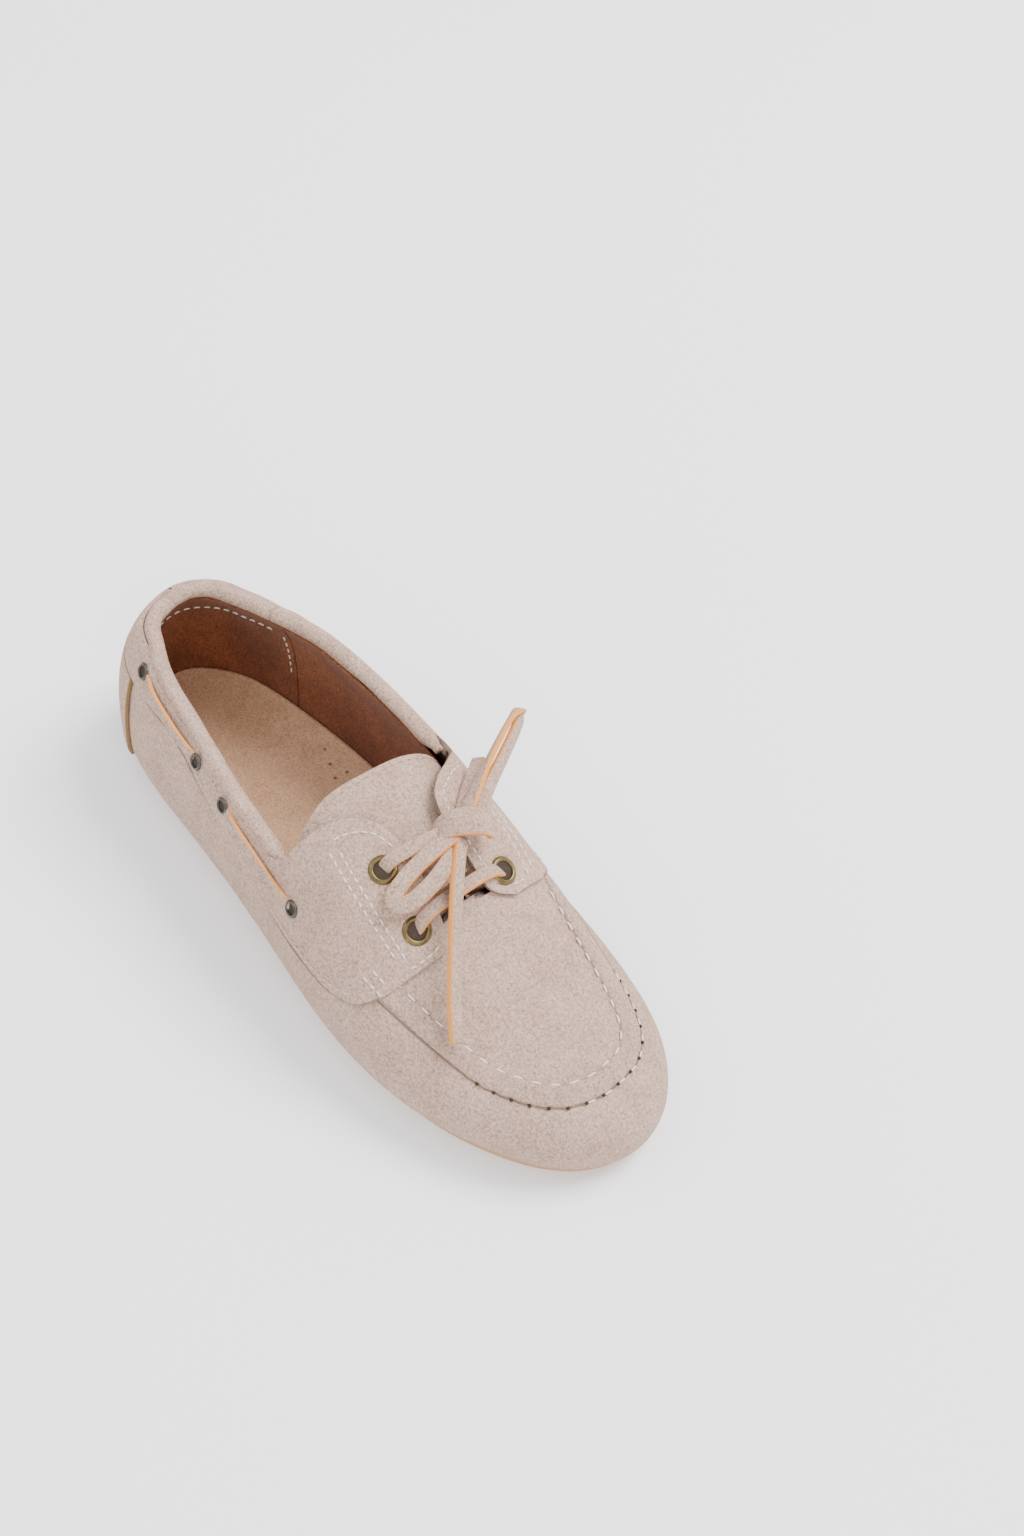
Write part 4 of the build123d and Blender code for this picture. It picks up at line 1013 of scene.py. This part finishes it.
def flat_layer(name, inset, z_top, thick, materials, cup=0.0, rings=26):
    """Flat layer following the outline, its top slightly cupped at the border."""
    u = np.linspace(0, ROUND, 260, endpoint=False)
    x, cx, cy = ray(u)
    share = np.linspace(0.0, 1.0, rings)[:, None]
    d = (half_width(u) - inset)[None] * (1 - share)
    px, py = x[None] + cx[None] * d, SPINE_Y + cy[None] * d
    rise = cup * (1 - share) ** 6 + 0 * px
    wave = 0.12 * np.sin(px / 14.0) * np.sin(py / 9.0)
    top = np.stack([px, py, z_top + rise + wave], -1)
    bottom = np.stack([px, py, z_top - thick + 0 * px], -1)
    verts = list(top.reshape(-1, 3)) + list(bottom[0])
    cols, faces = len(u), []
    for r in range(rings - 1):
        for c in range(cols):
            d = (c + 1) % cols
            faces.append([r * cols + c, r * cols + d, (r + 1) * cols + d, (r + 1) * cols + c])
    base = rings * cols
    for c in range(cols):
        d = (c + 1) % cols
        faces.append([base + c, base + d, d, c])
    faces.append([base + c for c in range(cols)][::-1])
    return new_object(name, verts, faces, materials)


PERFORATIONS = [(-53.2, 24), (-48.1, 27.4), (-47.1, 21.4), (-41.1, 28.4), (-40.8, 23.6), (-41.4, 19.1),
                (-34.3, 28.6), (-35.6, 17), (-34, 23.3)]


def make_footbed():
    obj = flat_layer("footbed_suede_cover", 5.6, FOOTBED_TOP, 1.3, [FOOTBED_MAT], cup=1.1)
    finish_piece(obj, "shoe", "footbed_suede", "footbed_cover")
    # Flat dark dots on the footbed: painted shade inside its perforations.
    verts, faces = [], []
    for x, y in PERFORATIONS:
        base = len(verts)
        verts += [(x + 0.6 * math.cos(a), y + 0.6 * math.sin(a), 12.68)
                  for a in np.linspace(0, 2 * math.pi, 12, endpoint=False)]
        faces.append([base + k for k in range(12)])
    dots = new_object("footbed_perforations", verts, faces, [PATCH_EDGE_AND_HOLE_SHADE_MAT])
    finish_piece(dots, "shoe", "footbed_suede")


def make_tongue():
    """Tongue with a curved, stitched rear edge, and its lining."""
    rear_line = [(-5.5, -23.0), (-6.3, -10.0), (-4.6, 4.0), (-3.0, 17.0), (-1.6, 27.0), (-1.2, 33.8)]
    rear = open_curve(rear_line, 60)
    seam_x = HINGE_X - HINGE_GAP / 2
    front = open_curve([(seam_x, -24), (seam_x, 4), (seam_x, 31)], 60)
    share = np.linspace(0, 1, 40)[:, None, None]
    plan = rear[None] * (1 - share) + front[None] * share
    u, turn = locate(plan[..., 0], plan[..., 1])
    ramp = np.clip((HINGE_X - plan[..., 0]) / 10, 0, 1)
    lie = TONGUE_OUT * ramp + (PLUG_OUT - 0.1) * (1 - ramp)
    lie = lie + 0.35 * np.sin(plan[..., 1] / 7.5 + 0.5) * np.clip((20 - plan[..., 0]) / 20, 0, 1)
    obj = skin_sheet("tongue_suede", u, turn, lie, SUEDE, [SUEDE_MAT, SOFT_EDGE_MAT, TONGUE_BACK_MAT])
    finish_piece(obj, "tongue", "suede", "tongue")
    obj = skin_sheet("tongue_lining_leather", u, turn, lie - SUEDE - 0.1, 0.8, [TONGUE_BACK_MAT], 0.2)
    finish_piece(obj, "tongue", "lining", "tongue_lining")
    row = 2
    stitch_row("stitches_tongue", u[row], turn[row], lie[row] + 0.02, 3.0, 2.0, 0.2, SEAM_MAT,
               body="tongue")


# ---- eyelets ----
def ring_base(normal):
    """Two directions across an eyelet."""
    side = np.cross(normal, (0.2, 0.9, 0.1))
    side /= np.linalg.norm(side)
    return side, np.cross(normal, side)


def make_eyelets(name, node, frames, hole, flange, material, slot):
    """Rolled metal rings, each with a domed flange, a short barrel and a dark disc over its hole, painted
    as the shade inside it.
    """
    lift, around, span = SUEDE + 0.2, 40, flange - hole
    profile = [(hole, -1.0), (hole, 0.2), (hole + 0.10 * span, 0.55), (hole + 0.32 * span, 0.72),
               (hole + 0.55 * span, 0.66), (hole + 0.8 * span, 0.42), (flange, 0.1), (flange - 0.1, 0.0),
               (hole + 0.5 * span, 0.0), (hole + 0.3, -0.2), (hole + 0.3, -1.0)]
    verts, faces, n = [], [], len(profile)
    discs, disc_faces = [], []
    for point, normal in frames:
        base, disc_base = len(verts), len(discs)
        side, other = ring_base(normal)
        for k in range(around):
            a = 2 * math.pi * k / around
            spoke = side * math.cos(a) + other * math.sin(a)
            verts += [point + spoke * r + normal * (lift + h) for r, h in profile]
            discs.append(point + spoke * (hole + 0.1) + normal * (lift + 0.1))
            j = (k + 1) % around
            for i in range(n):
                m = (i + 1) % n
                faces.append([base + k * n + i, base + k * n + m, base + j * n + m, base + j * n + i])
        disc_faces.append([disc_base + k for k in range(around)])
    obj = new_object(name, verts, faces, [material])
    finish_piece(obj, "shoe", slot, node)
    # Dark disc across each hole: painted shade inside the hole.
    dark = new_object(name + "_hole", discs, disc_faces, [HOLE_SHADE_MAT])
    finish_piece(dark, "shoe", slot)


def eyelet_frames():
    front = [(skin(*locate(x, y)), normal_at(*locate(x, y))) for x, y in EYELETS_FRONT]
    sides = []
    for station_of in (lateral, medial):
        row = []
        for x, z in EYELETS_SIDE:
            at = on_side(station_of, x, z, 0.0)
            row.append((at, on_side(station_of, x, z, 1.0) - at))
        sides.append(row)
    return front, sides


def paint_cad():
    """Materials for the CAD nodes that stay."""
    for name, material in (
        ("outsole", GUM_MAT), ("filler", CORE_MAT), ("insole_board", CORE_MAT),
        ("footbed_foam", CORE_MAT), ("heel_counter", CORE_MAT), ("facing_lateral", SOFT_EDGE_MAT),
        ("facing_medial", SOFT_EDGE_MAT),
    ):
        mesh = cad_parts[name].data
        mesh.materials.clear()
        mesh.materials.append(material)


def make_stage():
    """Pale floor and soft lights from above, behind and the camera's side."""
    bpy.ops.mesh.primitive_plane_add(size=6)
    floor = bpy.context.object
    floor.name = "studio_floor"
    material, nodes, links, shader, place = node_material("floor_paper", 0.75, specular=0.2)
    tone = ramp(nodes, links, noise(nodes, links, place, 3.0), [
        (0.3, (0.94, 0.94, 0.945)), (0.7, (0.96, 0.96, 0.965)),
    ])
    links.new(tone, shader.inputs["Base Color"])
    floor.data.materials.append(material)
    world = bpy.data.worlds.new("studio")
    bpy.context.scene.world = world
    world.use_nodes = True
    world.node_tree.nodes["Background"].inputs["Color"].default_value = (0.97, 0.975, 1.0, 1)
    world.node_tree.nodes["Background"].inputs["Strength"].default_value = 1.45
    for name, place, aim, size, power in (
        ("key", (0.35, 1.0, 1.5), (0, 0, 0.02), 0.9, 52),
        ("fill", (-0.9, -0.9, 1.3), (0, 0, 0.02), 1.4, 12),
        ("side", (1.2, -0.5, 0.9), (0, 0, 0.02), 0.9, 9),
    ):
        data = bpy.data.lights.new(name, "AREA")
        data.size = size
        data.energy = power
        light = bpy.data.objects.new(name, data)
        bpy.context.scene.collection.objects.link(light)
        light.location = place
        light.rotation_euler = (Vector(aim) - Vector(place)).to_track_quat("-Z", "Y").to_euler()


def main():
    put_camera()
    strips = make_bow()
    knot, core = make_knot()
    for station_of, side_name in ((lateral, "lateral"), (medial, "medial")):
        make_side_lace(station_of, side_name)
    make_heel_lace()
    make_stage()
    make_wrap()
    make_plug()
    make_ridge()
    make_saddle(lateral, "lateral")
    make_saddle(medial, "medial")
    make_lobe_stitches()
    make_heel_patch()
    make_collar()
    make_linings()
    make_footbed()
    make_tongue()
    front, sides = eyelet_frames()
    make_eyelets("eyelets_front", "front_eyelets", front, 2.8, 4.5, BRASS_MAT, "eyelet_brass")
    for row, side_name in zip(sides, ("lateral", "medial")):
        make_eyelets("eyelets_" + side_name, "side_eyelets_" + side_name, row, 1.8, 2.9, DARK_BRASS_MAT,
                     "eyelet_dark")
    paint_cad()


main()
